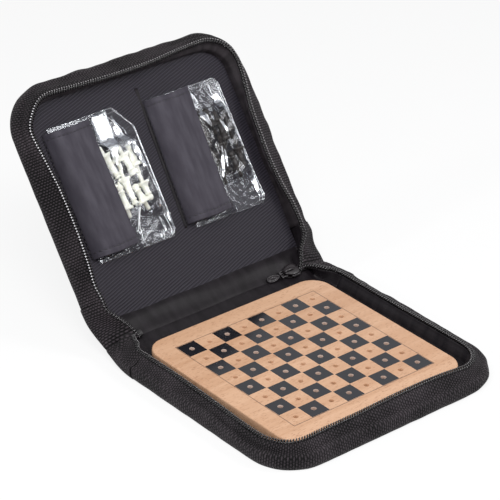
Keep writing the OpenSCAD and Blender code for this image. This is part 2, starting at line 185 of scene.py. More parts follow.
class Patchwork:
    """Patches of quads gathered in millimetres, then sewn into one mesh in metres."""

    WELD = 0.004  # points nearer than this are one
    SLIVER = 0.002  # edges shorter than this are dropped
    DOME_REACH = 0.7  # a tube's end stands out by this share of its radius
    DOME_WIDTH = 0.45  # and is this much of it wide

    def __init__(self) -> None:
        """Starts empty."""
        self.points: list[Points] = []
        self.cloth: list[Points] = []
        self.faces: list[list[int]] = []
        self.slots: list[int] = []
        self.count = 0

    def patch(
        self,
        points: Points,
        cloth: Optional[Points] = None,
        round_rows: bool = False,
        round_columns: bool = False,
        slot: int = 0,
        flip: bool = False,
    ) -> None:
        """Adds a grid of quads.

        Args:
            points: rows by columns by 3.
            cloth: rows by columns by 2, the place of each point on the flat cloth.
            round_rows: joins the last column to the first.
            round_columns: joins the last row to the first.
            slot: index of the finish these faces wear.
            flip: turns the faces over.
        """
        n, m = points.shape[:2]
        index = np.arange(n * m).reshape(n, m) + self.count
        if round_rows:
            index = np.c_[index, index[:, :1]]
        if round_columns:
            index = np.r_[index, index[:1]]
        quads = np.stack([index[:-1, :-1], index[1:, :-1], index[1:, 1:], index[:-1, 1:]], -1)
        quads = quads.reshape(-1, 4)
        faces = (quads[:, ::-1] if flip else quads).tolist()
        flat = points[..., :2] if cloth is None else cloth
        self.points.append(points.reshape(-1, 3))
        self.cloth.append(np.c_[flat.reshape(-1, 2), np.zeros(n * m)])
        self.faces += faces
        self.slots += [slot] * len(faces)
        self.count += n * m

    def cap(self, ring: Sequence[int], slot: int = 0) -> None:
        """Closes a ring of point numbers with one face."""
        self.faces.append(list(ring))
        self.slots.append(slot)

    def tube(
        self,
        path: Points,
        radius: float | Points,
        sides: int = 8,
        loop: bool = False,
        slot: int = 0,
        flat: float = 1.0,
        up: Sequence[float] = (0, 0, 1),
    ) -> None:
        """Adds a tube round a path, with domed ends if it is open.

        Args:
            path: points by 3.
            radius: one radius or one for each point.
            sides: points round the tube.
            loop: joins its end to its start.
            slot: index of its finish.
            flat: how thick it is beside its width.
            up: the way its thickness faces.
        """
        if loop:
            ahead = unit(np.roll(path, -1, 0) - np.roll(path, 1, 0))
        else:
            ahead = unit(np.gradient(path, axis=0))
        side = unit(np.cross(ahead, np.broadcast_to(np.array(up, float), path.shape)) + 1e-9)
        top = np.cross(side, ahead)
        r = np.broadcast_to(np.asarray(radius, float), (len(path),)).copy()
        if not loop:
            start = path[0] - ahead[0] * r[0] * self.DOME_REACH
            end = path[-1] + ahead[-1] * r[-1] * self.DOME_REACH
            path = np.r_[[start], path, [end]]
            side, top = (np.r_[q[:1], q, q[-1:]] for q in (side, top))
            r = np.r_[r[0] * self.DOME_WIDTH, r, r[-1] * self.DOME_WIDTH]
        a = np.arange(sides) * 2 * math.pi / sides
        rings = (
            path[:, None]
            + side[:, None] * (np.cos(a)[None, :, None] * r[:, None, None])
            + top[:, None] * (np.sin(a)[None, :, None] * r[:, None, None] * flat)
        )
        first = self.count
        self.patch(rings, round_rows=True, round_columns=loop, slot=slot)
        if not loop:
            self.cap(range(first + sides - 1, first - 1, -1), slot)
            self.cap(range(self.count - sides, self.count), slot)

    def build(
        self,
        name: str,
        finishes: Sequence["Finish"],
        thick: float = 0.0,
        uneven: Optional[Move] = None,
        weld: bool = True,
        outward: bool = False,
    ) -> Object:
        """Sews the patches into one object.

        Args:
            name: the object's name.
            finishes: one finish for each slot used.
            thick: cloth thickness in millimetres, laid behind the faces.
            uneven: gives how far each point moves along its normal, in millimetres.
            weld: joins points that lie together.
            outward: turns all faces to the outside, for closed forms.

        Returns:
            The new object, linked to the scene.
        """
        mesh = bpy.data.meshes.new(name)
        points = np.concatenate(self.points)
        mesh.from_pydata((points * MM).tolist(), [], self.faces)
        layer = mesh.attributes.new("cloth", "FLOAT_VECTOR", "POINT")
        layer.data.foreach_set("vector", np.concatenate(self.cloth).astype(np.float32).ravel())
        mesh.polygons.foreach_set("material_index", np.array(self.slots, np.int32))
        if weld or outward:
            bm = bmesh.new()
            bm.from_mesh(mesh)
            if weld:
                bmesh.ops.remove_doubles(bm, verts=bm.verts, dist=self.WELD * MM)
                bmesh.ops.dissolve_degenerate(bm, edges=bm.edges, dist=self.SLIVER * MM)
            if outward:
                bmesh.ops.recalc_face_normals(bm, faces=bm.faces)
            bm.to_mesh(mesh)
            bm.free()
        if uneven is not None:
            place, normal = vertex_arrays(mesh)
            place += normal * uneven(place / MM)[:, None] * MM
            mesh.vertices.foreach_set("co", place.ravel())
        mesh.polygons.foreach_set("use_smooth", np.full(len(mesh.polygons), True))
        mesh.update()
        obj = bpy.data.objects.new(name, mesh)
        bpy.context.scene.collection.objects.link(obj)
        for finish in finishes:
            mesh.materials.append(finish.material())
        if thick:
            solid = obj.modifiers.new("thickness", "SOLIDIFY")
            solid.thickness, solid.offset = thick * MM, -1
            keep_modifiers(obj)
        return obj


def vertex_arrays(mesh: Mesh) -> tuple[Points, Points]:
    """Places and normals of a mesh's points.

    Args:
        mesh: the mesh.

    Returns:
        The places in metres, and the normals.
    """
    place = np.empty(len(mesh.vertices) * 3)
    mesh.vertices.foreach_get("co", place)
    normal = np.array([v.vector for v in mesh.vertex_normals], float)
    return place.reshape(-1, 3), normal


def keep_modifiers(obj: Object) -> None:
    """Makes an object's modifiers part of its mesh.

    Args:
        obj: the object.
    """
    deps = bpy.context.evaluated_depsgraph_get()
    mesh = bpy.data.meshes.new_from_object(obj.evaluated_get(deps))
    old = obj.data
    obj.modifiers.clear()
    obj.data = mesh
    mesh.name = obj.name
    bpy.data.meshes.remove(old)


# ---- finishes


class Bench:
    """Adds and joins the nodes of one material or world."""

    def __init__(self, owner: ID, output: str = "OutputMaterial") -> None:
        """Args:
            owner: the material or world, whose nodes are cleared.
            output: the kind of its output node.
        """
        self.owner = owner
        owner.use_nodes = True
        self.tree = owner.node_tree
        self.tree.nodes.clear()
        self.out = self.tree.nodes.new("ShaderNode" + output)

    def put(self, socket: NodeSocket, value: object) -> None:
        """Links a socket, or sets its value.

        Args:
            socket: the input.
            value: another node's socket, or a plain value.
        """
        if isinstance(value, NodeSocket):
            self.tree.links.new(value, socket)
        elif isinstance(value, (tuple, list)) and len(value) == 3 and socket.type == "RGBA":
            socket.default_value = (*value, 1)
        else:
            socket.default_value = value

    def node(self, kind: str, inputs: Optional[dict] = None, **settings: object) -> Node:
        """Adds a node, with its settings and inputs.

        Args:
            kind: its type.
            inputs: sockets or values, by input.
            settings: its own properties.

        Returns:
            The node.
        """
        n = self.tree.nodes.new("ShaderNode" + kind)
        for key, value in settings.items():
            setattr(n, key, value)
        for key, value in (inputs or {}).items():
            self.put(n.inputs[key], value)
        return n

    def math(self, operation: str, *values: object) -> NodeSocket:
        """One sum or function of sockets and numbers."""
        n = self.node("Math", dict(enumerate(values)), operation=operation)
        return n.outputs[0]

    def times(self, a: object, b: object) -> NodeSocket:
        """The product of two sockets or numbers."""
        return self.math("MULTIPLY", a, b)

    def plus(self, a: object, b: object) -> NodeSocket:
        """The sum of two sockets or numbers."""
        return self.math("ADD", a, b)

    def cloth(self) -> tuple[NodeSocket, NodeSocket, NodeSocket]:
        """Where a point lies on the flat cloth, in millimetres.

        Returns:
            The place along, the place across, and both as a vector.
        """
        v = self.node("Attribute", attribute_name="cloth").outputs["Vector"]
        split = self.node("SeparateXYZ", {0: v})
        return split.outputs[0], split.outputs[1], v

    def scaled(self, vector: object, scale: Sequence[float]) -> NodeSocket:
        """A vector with each of its values multiplied."""
        return self.node("Mapping", {"Vector": vector, "Scale": scale}).outputs[0]

    def solid(self) -> NodeSocket:
        """The place in the piece itself in millimetres."""
        return self.scaled(self.node("TexCoord").outputs["Object"], (1 / MM, 1 / MM, 1 / MM))

    def seen(self) -> NodeSocket:
        """1 for the camera and for what it sees in or through gloss, 0 for light on surfaces.

        Returns:
            A socket of 1 or 0.
        """
        rays = self.node("LightPath").outputs
        through = self.math("MAXIMUM", rays["Is Glossy Ray"], rays["Is Transmission Ray"])
        return self.math("MAXIMUM", rays["Is Camera Ray"], through)

    def noise(
        self,
        vector: object,
        scale: float,
        detail: float = 2.0,
        rough: float = 0.5,
        bend: float = 0.0,
    ) -> NodeSocket:
        """Soft noise.

        Args:
            vector: the place.
            scale: patches per millimetre.
            detail: how many finer layers it has.
            rough: how strong they are.
            bend: how far it is warped.

        Returns:
            The noise, from 0 to 1.
        """
        inputs = {"Vector": vector, "Scale": scale, "Detail": detail, "Roughness": rough,
                  "Distortion": bend}
        return self.node("TexNoise", inputs).outputs[0]

    def span(
        self, value: object, low: float, high: float, to_low: float = 0.0, to_high: float = 1.0
    ) -> NodeSocket:
        """Maps a range of values smoothly onto another."""
        inputs = {0: value, 1: low, 2: high, 3: to_low, 4: to_high}
        return self.node("MapRange", inputs, interpolation_type="SMOOTHSTEP").outputs[0]

    def blend(self, amount: object, low: object, high: object) -> NodeSocket:
        """Mixes two colours.

        Args:
            amount: share of the second.
            low: the first.
            high: the second.

        Returns:
            The mixed colour.
        """
        n = self.node("Mix", data_type="RGBA")
        self.put(n.inputs[0], amount)
        self.put(n.inputs[6], low)
        self.put(n.inputs[7], high)
        return n.outputs[2]

    def bump(self, height: object, depth: float, strength: float) -> NodeSocket:
        """A bump whose full height is depth millimetres."""
        inputs = {"Height": height, "Distance": depth * MM, "Strength": strength}
        return self.node("Bump", inputs).outputs[0]

    def shader(self, **inputs: object) -> NodeSocket:
        """The principled shader; underscores in names stand for spaces."""
        named = {k.replace("_", " "): v for k, v in inputs.items()}
        return self.node("BsdfPrincipled", named).outputs[0]

    def done(self, shader: NodeSocket) -> ID:
        """Joins a shader to the output and gives the material or world."""
        self.tree.links.new(shader, self.out.inputs[0])
        return self.owner


class Finish:
    """A surface finish, made into a material once and shared."""

    name: str = "finish"
    made: dict[str, Material] = {}

    def material(self) -> Material:
        """The material of this finish.

        Returns:
            The material, the same one each time.
        """
        key = repr(self)
        if key not in Finish.made:
            Finish.made[key] = self.mix(Bench(bpy.data.materials.new(self.name)))
        return Finish.made[key]

    def mix(self, b: Bench) -> Material:
        """Builds the material on a bench."""
        raise NotImplementedError


@dataclass(frozen=True)
class CoarseNylon(Finish):
    """Black coarse nylon: thick ribs crossed by staggered threads; painted shade in gaps,
    highlights on crowns.
    """

    name: str = "coarse_nylon"
    pitch: float = 1.35
    thread: float = 1.5
    # Painted shade in the gaps between yarns, the yarn tone, and a lighter tone that is a painted
    # highlight on thread crowns.
    gap: tuple = (0.0010, 0.0008, 0.0010)
    yarn: tuple = (0.036, 0.029, 0.034)
    painted_crown_highlight: tuple = (0.068, 0.056, 0.064)

    def mix(self, b: Bench) -> Material:
        """Builds the weave from the cloth's own coordinates.

        Args:
            b: its bench.

        Returns:
            The material.
        """
        along, across, place = b.cloth()
        wobble = b.times(b.math("SUBTRACT", b.noise(place, 0.12), 0.5), 0.9)
        u = b.math("DIVIDE", b.plus(along, wobble), self.pitch)
        v = b.math("DIVIDE", b.plus(across, wobble), self.thread)
        rib = b.math("ABSOLUTE", b.math("SINE", b.times(u, math.pi)))
        odd = b.math("MODULO", b.math("FLOOR", b.plus(u, 5000.0)), 2.0)
        v = b.plus(v, b.times(odd, 0.5))
        bead = b.math("ABSOLUTE", b.math("SINE", b.times(v, math.pi)))
        weave = b.times(b.math("POWER", rib, 0.7), b.plus(b.times(bead, 0.6), 0.4))
        fuzz = b.noise(place, 2.4, 3, 0.6)
        height = b.plus(weave, b.times(fuzz, 0.25))
        patch = b.span(b.noise(b.solid(), 0.05, 3), 0.35, 0.7)
        # Painted shade in the gaps against the lit yarn, then painted highlights on the crowns in
        # soft patches.
        tone = b.blend(b.span(weave, 0.5, 0.95), self.gap, self.yarn)
        tone = b.blend(b.times(patch, b.times(weave, 0.7)), tone, self.painted_crown_highlight)
        return b.done(b.shader(
            Base_Color=tone, Roughness=b.span(fuzz, 0.2, 0.8, 0.55, 0.8), Sheen_Weight=0.02,
            Sheen_Roughness=0.5, Specular_IOR_Level=0.14, Normal=b.bump(height, 0.8, 1.0)))


@dataclass(frozen=True)
class RibbedLining(Finish):
    """Charcoal lining cloth with fine slanting ribs and a soft sheen."""

    name: str = "ribbed_lining"
    pitch: float = 1.4
    slant: float = -17.0
    low: tuple = (0.009, 0.008, 0.011)
    high: tuple = (0.034, 0.030, 0.041)

    def mix(self, b: Bench) -> Material:
        """Builds the ribs from the cloth's own coordinates.

        Args:
            b: its bench.

        Returns:
            The material.
        """
        along, across, place = b.cloth()
        a = math.radians(self.slant)
        drift = b.times(b.noise(place, 0.05, 2), 1.6)
        run = b.plus(b.times(along, -math.sin(a)), b.times(across, math.cos(a)))
        turns = b.times(b.plus(run, drift), 2 * math.pi / self.pitch)
        rib = b.math("MULTIPLY_ADD", b.math("SINE", turns), 0.5, 0.5)
        grain = b.noise(b.scaled(place, (2.5, 0.6, 1)), 1.6, 3)
        tone = b.blend(b.math("MULTIPLY_ADD", grain, 0.3, b.times(rib, 0.7)),
                       self.low, self.high)
        height = b.plus(rib, b.times(grain, 0.4))
        return b.done(b.shader(
            Base_Color=tone, Roughness=0.42, Sheen_Weight=0.0, Specular_IOR_Level=0.16,
            Normal=b.bump(height, 0.2, 0.9)))


@dataclass(frozen=True)
class SmoothLining(Finish):
    """Plain tight-woven nylon with a low sheen."""

    name: str = "smooth_lining"
    low: tuple = (0.0055, 0.0042, 0.0055)
    high: tuple = (0.014, 0.0115, 0.014)
    rough: float = 0.45
    shine: float = 0.14
    streak: tuple = (0.25, 0.05, 1.0)

    def mix(self, b: Bench) -> Material:
        """Builds soft streaks and a fine weave.

        Args:
            b: its bench.

        Returns:
            The material.
        """
        along, across, place = b.cloth()
        streak = b.noise(b.scaled(place, self.streak), 1.0, 3)
        fine = b.times(b.math("SINE", b.times(along, 9.0)), b.math("SINE", b.times(across, 9.0)))
        tone = b.blend(b.span(streak, 0.3, 0.72), self.low, self.high)
        height = b.math("MULTIPLY_ADD", fine, 0.2, b.noise(place, 0.35, 3))
        return b.done(b.shader(
            Base_Color=tone, Roughness=self.rough, Sheen_Weight=0.0, Specular_IOR_Level=self.shine,
            Normal=b.bump(height, 0.10, 0.8)))


@dataclass(frozen=True)
class Moulded(Finish):
    """Plain moulded or drawn plastic, with faint flow marks and scuffs."""

    name: str = "moulded"
    low: tuple = (0.02, 0.018, 0.02)
    high: tuple = (0.03, 0.027, 0.03)
    rough: float = 0.3
    coat: float = 0.0
    soft: float = 0.0
    shine: float = 0.5
    bumps: float = 0.03

    def mix(self, b: Bench) -> Material:
        """Builds a soft mottle with small scuffs in the gloss.

        Args:
            b: its bench.

        Returns:
            The material.
        """
        place = b.solid()
        mottle = b.noise(place, 0.6, 3)
        scuff = b.noise(place, 3.0, 4, 0.65)
        inputs = dict(
            Base_Color=b.blend(b.span(mottle, 0.3, 0.7), self.low, self.high),
            Roughness=b.span(scuff, 0.3, 0.75, self.rough * 0.85, min(1.0, self.rough * 1.3)),
            Specular_IOR_Level=self.shine, Coat_Weight=self.coat, Coat_Roughness=0.08,
            Normal=b.bump(scuff, self.bumps, 0.7))
        if self.soft:
            inputs.update(Subsurface_Weight=self.soft, Subsurface_Radius=(1.2, 1.0, 0.7),
                          Subsurface_Scale=0.001)
        return b.done(b.shader(**inputs))


@dataclass(frozen=True)
class ToothHeads(Finish):
    """The coil's gloss heads, with a painted sheen on the raised lid's heads and painted glints
    down the lid's left side.
    """

    name: str = "tooth_heads_painted_glint"
    # The nylon's own dark tone, a painted sheen of grey and painted pale glints.
    dark: tuple = (0.05, 0.046, 0.05)
    painted_sheen_grey: tuple = (0.24, 0.225, 0.235)
    pale: tuple = (0.72, 0.71, 0.74)

    def mix(self, b: Bench) -> Material:
        """Builds a gloss nylon with painted light: grey sheen high up, pale glints on the lid's
        left.

        Args:
            b: its bench.

        Returns:
            The material.
        """
        parts = b.node("SeparateXYZ", {0: b.solid()}).outputs
        # Painted light by place: heads above 22 mm turn grey as a painted sheen, and those on the
        # lid's left turn pale as painted glints.
        high = b.span(parts["Z"], 22.0, 40.0)
        left = b.times(b.span(parts["X"], -54.0, -63.0), high)
        tone = b.blend(left, b.blend(high, self.dark, self.painted_sheen_grey), self.pale)
        return b.done(b.shader(Base_Color=tone, Roughness=0.2,
                               Specular_IOR_Level=0.6, Coat_Weight=0.5, Coat_Roughness=0.1))


@dataclass(frozen=True)
class PaintedMetal(Finish):
    """Dark painted die-cast metal with a soft gleam and rubbed edges."""

    name: str = "painted_metal"
    paint: tuple = (0.010, 0.007, 0.009)
    rubbed: tuple = (0.06, 0.054, 0.06)

    def mix(self, b: Bench) -> Material:
        """Builds paint that is rubbed where the form turns sharply.

        Args:
            b: its bench.

        Returns:
            The material.
        """
        edge = b.span(b.node("NewGeometry").outputs["Pointiness"], 0.52, 0.62)
        speck = b.noise(b.solid(), 4.0, 3)
        tone = b.blend(b.times(edge, speck), self.paint, self.rubbed)
        return b.done(b.shader(
            Base_Color=tone, Metallic=0.0, Roughness=b.span(speck, 0.2, 0.8, 0.34, 0.5),
            Specular_IOR_Level=0.35, Coat_Weight=0.15, Coat_Roughness=0.2,
            Normal=b.bump(speck, 0.03, 0.5)))


@dataclass(frozen=True)
class Beech(Finish):
    """Pale steamed beech with fine grain and short dark flecks."""

    name: str = "beech"
    pale: tuple = (0.635, 0.390, 0.245)
    deep: tuple = (0.525, 0.295, 0.170)
    fleck: tuple = (0.34, 0.160, 0.085)

    def mix(self, b: Bench) -> Material:
        """Builds grain bands, fine fibres and flecks along one direction.

        Args:
            b: its bench.

        Returns:
            The material.
        """
        place = b.solid()
        bands = b.noise(b.scaled(place, (0.006, 0.11, 0.11)), 1.0, 4, 0.6, 0.6)
        fibre = b.noise(b.scaled(place, (0.12, 2.6, 2.6)), 1.0, 3, 0.6)
        spot = b.span(b.noise(b.scaled(place, (0.45, 2.4, 2.4)), 1.0, 1, 0.4), 0.60, 0.72)
        tone = b.blend(b.span(bands, 0.3, 0.7), self.pale, self.deep)
        tone = b.blend(b.times(b.span(fibre, 0.42, 0.8), 0.55), tone, self.deep)
        tone = b.blend(b.times(spot, 0.7), tone, self.fleck)
        height = b.math("SUBTRACT", fibre, spot)
        return b.done(b.shader(
            Base_Color=tone, Roughness=b.span(fibre, 0.2, 0.8, 0.36, 0.5),
            Specular_IOR_Level=0.55, Normal=b.bump(height, 0.05, 0.6)))


@dataclass(frozen=True)
class Stain(Finish):
    """Dark ink printed on the wood: the grain still shows a little."""

    name: str = "stain"
    deep: tuple = (0.004, 0.004, 0.005)
    thin: tuple = (0.013, 0.013, 0.018)

    def mix(self, b: Bench) -> Material:
        """Builds dark ink with faint fibres and thin places.

        Args:
            b: its bench.

        Returns:
            The material.
        """
        place = b.solid()
        fibre = b.noise(b.scaled(place, (0.1, 2.0, 2.0)), 1.0, 3, 0.6)
        thin = b.noise(place, 0.08, 3)
        amount = b.math("MULTIPLY_ADD", b.span(fibre, 0.4, 0.8), 0.4, b.times(thin, 0.6))
        return b.done(b.shader(
            Base_Color=b.blend(amount, self.deep, self.thin), Roughness=0.13,
            Specular_IOR_Level=0.36, Specular_Tint=(0.84, 0.87, 1.0, 1.0),
            Normal=b.bump(fibre, 0.02, 0.25)))


@dataclass(frozen=True)
class ClearFilm(Finish):
    """Thin clear bag film: see-through, with bright gloss on its creases."""

    name: str = "clear_film"
    least: float = 0.018
    crease: float = 0.08
    rim: float = 0.6
    cloud: float = 0.0
    tint: tuple = (0.90, 0.92, 0.96)

    def mix(self, b: Bench) -> Material:
        """Builds a clear sheet whose gloss grows on creases and at grazing angles.

        Args:
            b: its bench.

        Returns:
            The material.
        """
        _, _, place = b.cloth()
        crinkle = b.noise(place, 0.16, 2, 0.5, 0.6)
        ridge = b.math("ABSOLUTE", b.math("SUBTRACT", crinkle, 0.5))
        normal = b.bump(b.math("POWER", ridge, 0.8), 0.22, 0.4)
        gloss = b.shader(Base_Color=self.tint, Metallic=0.9, Roughness=0.09, Normal=normal)
        clear = b.node("BsdfTransparent", {"Color": (0.97, 0.975, 0.985)}).outputs[0]
        rim = b.node("LayerWeight", {"Blend": 0.28, "Normal": normal}).outputs["Fresnel"]
        crease = b.span(ridge, 0.0, 0.012, self.crease, 0.0)
        # For the painted glare strips, noise lets the glare fade in and out in patches.
        if self.cloud:
            drift = b.noise(b.scaled(place, (1.0, 0.45, 1.0)), 0.5, 3)
            least = b.span(drift, 0.40, 0.56, self.least * (1 - self.cloud), self.least)
        else:
            least = self.least
        amount = b.plus(b.math("MULTIPLY_ADD", rim, self.rim, least), crease)
        n = b.node("MixShader", {0: b.math("MINIMUM", amount, 0.9), 1: clear, 2: gloss})
        return b.done(n.outputs[0])


@dataclass(frozen=True)
class StudioFloor(Finish):
    """Plain pale floor that reads as white but keeps a soft shadow."""

    name: str = "studio_floor"
    white: float = 0.84

    def mix(self, b: Bench) -> Material:
        """Builds a pale matt floor, lifted to white for the eye and for reflections.

        Args:
            b: its bench.

        Returns:
            The material.
        """
        paint = b.node("BsdfDiffuse", {"Color": (0.9, 0.9, 0.9)}).outputs[0]
        glow = b.node("Emission", {"Color": (1, 1, 1), "Strength": 1.0}).outputs[0]
        amount = b.times(b.seen(), self.white)
        return b.done(b.node("MixShader", {0: amount, 1: paint, 2: glow}).outputs[0])


NYLON = CoarseNylon()
RIBBED = RibbedLining()
SMOOTH = SmoothLining()
TAPE = SmoothLining(
    name="zip_tape", low=(0.008, 0.007, 0.009), high=(0.018, 0.0155, 0.018), rough=0.6)
BAND = SmoothLining(
    name="lid_band", low=(0.017, 0.0145, 0.0165), high=(0.033, 0.028, 0.032), rough=0.6)
SATIN = SmoothLining(
    name="pocket_satin", low=(0.040, 0.036, 0.047), high=(0.062, 0.057, 0.071), rough=0.55,
    shine=0.12, streak=(0.2, 0.05, 1.0))
COIL = Moulded(
    name="coil_nylon", low=(0.006, 0.005, 0.006), high=(0.012, 0.010, 0.012), rough=0.16,
    coat=0.4, shine=0.3)
HEADS_PAINTED_GLINT = ToothHeads()
THREAD = Moulded(
    name="black_thread", low=(0.008, 0.007, 0.008), high=(0.022, 0.02, 0.022), rough=0.5,
    bumps=0.08)
METAL = PaintedMetal()
BEECH = Beech()
BORED = Beech(
    name="bored_wood", pale=(0.52, 0.40, 0.34), deep=(0.44, 0.32, 0.26), fleck=(0.3, 0.2, 0.15))
STAIN = Stain()
LINE = Moulded(
    name="border_line", low=(0.07, 0.035, 0.022), high=(0.14, 0.075, 0.05), rough=0.5)
FILM = ClearFilm(least=0.008, crease=0.03, rim=0.32)
SEAL = ClearFilm(name="film_seal", least=0.5, crease=0.3)
# Painted glare: film with a strong fixed reflectance, laid in strips where highlights fall.
GLARE_STRIP_FILM = ClearFilm(name="painted_glare_film", least=0.5, crease=0.25, cloud=0.93)
# Painted highlights: opaque white tubes standing in for glints on the film's folds.
PAINTED_GLINT_TAIL = Moulded(
    name="painted_glint_tail", low=(0.75, 0.76, 0.78), high=(0.88, 0.89, 0.92), rough=0.3, coat=0.3)
IVORY = Moulded(
    name="ivory_plastic", low=(0.87, 0.86, 0.75), high=(0.93, 0.93, 0.85), rough=0.32, soft=0.12)
EBONY = Moulded(
    name="black_plastic", low=(0.010, 0.007, 0.006), high=(0.024, 0.017, 0.015), rough=0.3,
    coat=0.1, shine=0.3)


# ---- where things lie


class Side(Enum):
    """The two halves of the case."""

    BASE = "base"
    LID = "lid"


@dataclass(frozen=True)
class CaseLayout:
    """The case's main sizes in millimetres, and how its halves and spine stand when open."""

    half_width: float = 71.5
    half_depth: float = 62.7
    corner: float = 24.0
    spine_tilt: float = 23.0
    lid_tilt: float = 53.0
    cover: float = 1.2
    lid_y: float = 83.135
    lid_z: float = 9.874
    seam_y: float = 50.0
    step: float = 1.5
    spine_step: float = 1.2
    bend: float = 28.0
    bend_points: int = 14

    def from_lid(self, p: Points) -> Points:
        """Lid plan (across, up from the fold, above the outer face) to the room.

        Args:
            p: points.

        Returns:
            Points in the room.
        """
        a = math.radians(self.lid_tilt)
        y, z = p[..., 1], p[..., 2] - self.cover
        return np.stack([p[..., 0], self.lid_y + y * math.cos(a) - z * math.sin(a),
                         self.lid_z + y * math.sin(a) + z * math.cos(a)], -1)

    def from_spine(self, p: Points) -> Points:
        """Spine plan (across, up the spine, above its cover) to the room.

        Args:
            p: points.

        Returns:
            Points in the room.
        """
        a = math.radians(self.spine_tilt)
        s, h = p[..., 1], p[..., 2]
        return np.stack([p[..., 0], self.half_depth + s * math.cos(a) - h * math.sin(a),
                         self.cover + s * math.sin(a) + h * math.cos(a)], -1)

    def from_tray(self, side: Side, p: Points) -> Points:
        """A half drawn as a tray on the table, to the room.

        Args:
            side: which half.
            p: points.

        Returns:
            Points in the room.
        """
        if side is Side.BASE:
            return p
        return self.from_lid(np.stack([p[..., 0], self.half_depth - p[..., 1], p[..., 2]], -1))

    def outline(self) -> tuple[Points, Points, Points]:
        """The outer edge from the left seam round the far side to the right seam.

        Returns:
            Points, the ways in towards the middle, and distances from the start.
        """
        w, d, r = self.half_width, self.half_depth, self.corner
        side = np.linspace(self.seam_y, -d + r, int((self.seam_y + d - r) / self.step))[:-1]
        far = np.linspace(-w + r, w - r, int(2 * (w - r) / self.step))[:-1]
        a = np.linspace(0, math.pi / 2, int(r * math.pi / 2 / self.step))[:-1]
        rows = [(-w, y, 1, 0) for y in side]
        rows += [(-w + r - r * math.cos(t), -d + r - r * math.sin(t), math.cos(t), math.sin(t))
                 for t in a]
        rows += [(x, -d, 0, 1) for x in far]
        rows += [(w - r + r * math.sin(t), -d + r - r * math.cos(t), -math.sin(t), math.cos(t))
                 for t in a]
        rows += [(w, y, -1, 0) for y in side[::-1]]
        q = np.array(rows)
        return q[:, :2], q[:, 2:], lengths_along(q[:, :2])

    def spine_path(self) -> tuple[Points, Points]:
        """The outside of the cover from the base's seam over the spine to the lid's seam.

        Returns:
            Rows of (y, z) an even step apart, and the slope angle at each.
        """
        lid = self.from_lid(np.array([[0.0, -10, 0], [0, self.half_depth - self.seam_y, 0]]))[:, 1:]
        spine = self.from_spine(np.array([[0.0, 0, -self.cover], [0, 10, -self.cover]]))[:, 1:]
        first = spine[0] + (spine[1] - spine[0]) * (-spine[0][1] / (spine[1] - spine[0])[1])
        u, v = unit(spine[1] - spine[0]), unit(lid[1] - lid[0])
        second = first + u * np.linalg.solve(np.stack([u, -v], 1), lid[0] - first)[0]
        path = [np.array([self.seam_y, 0.0])]
        for corner, before, turn in (
            (first, np.array([1.0, 0]), math.radians(self.spine_tilt)),
            (second, u, math.radians(self.lid_tilt - self.spine_tilt)),
        ):
            reach = self.bend * math.tan(turn / 2)
            start = corner - before * reach
            side = np.array([-before[1], before[0]])
            centre = start + side * self.bend
            for t in np.linspace(0, turn, self.bend_points):
                path.append(centre + self.bend * (-side * math.cos(t) + before * math.sin(t)))
        path.append(lid[1])
        path = respaced(np.array(path), self.spine_step)
        ahead = np.gradient(path, axis=0)
        return path, np.arctan2(ahead[:, 1], ahead[:, 0])

    def nearest_on_spine(self, p: Points) -> tuple[Points, Points, Points]:
        """Finds the nearest place on the spine path for each point in the room.

        Args:
            p: the points.

        Returns:
            Its (y, z), the slope angle there, and whether it lies between the path's ends.
        """
        path, angle = self.spine_path()
        k = np.argmin(np.hypot(p[:, 1, None] - path[:, 0], p[:, 2, None] - path[:, 1]), 1)
        return path[k], angle[k], (k > 0) & (k < len(path) - 1)


@dataclass(frozen=True)
class RimBow:
    """A place where the soft rim stands off its even line, in tray millimetres."""

    x: float
    y: float
    inward: float
    up: float = 0.0


# Where each rim bows in or out, and up or down.
BASE_BOWS = tuple(RimBow(*row) for row in (
    (-71, 30, 0.2), (-71, 0, -0.6), (-70, -36, -1.9), (-63.5, -45, -1.3), (-59.6, -51, -0.9),
    (-51.5, -60, 0.2, 0.6), (-20, -60, 0.3, 1.1), (9, -60, 0.5, 1.7), (33, -60, 0.4, 1.2),
    (48, -60, 0.1, 0.1), (70, -20, 0.3, 0.3), (70, 10, -0.2, -0.3), (70, 40, 0.0),
))
LID_BOWS = tuple(RimBow(*row) for row in (
    (-70, 40.7, -0.9), (-70, 32.7, 0.0), (-70, 16.7, 1.2), (-70, 0, 1.3), (-70, -10, 1.0),
    (-70, -24.3, -0.6), (-70, -38, -2.0), (-64, -50, 0.0), (-53, -60, 0.1), (-30, -60, 0.9),
    (-10, -60, 1.5), (15, -60, 1.1), (30, -60, -0.1), (42, -60, -0.8), (55, -56, -1.2),
    (64, -50, -1.9), (70, -36, -1.3), (70, -15, 2.0), (70, 1.7, 3.0), (70, 10.7, 3.4),
    (70, 27.7, 2.3), (70, 38.7, 0.4),
))


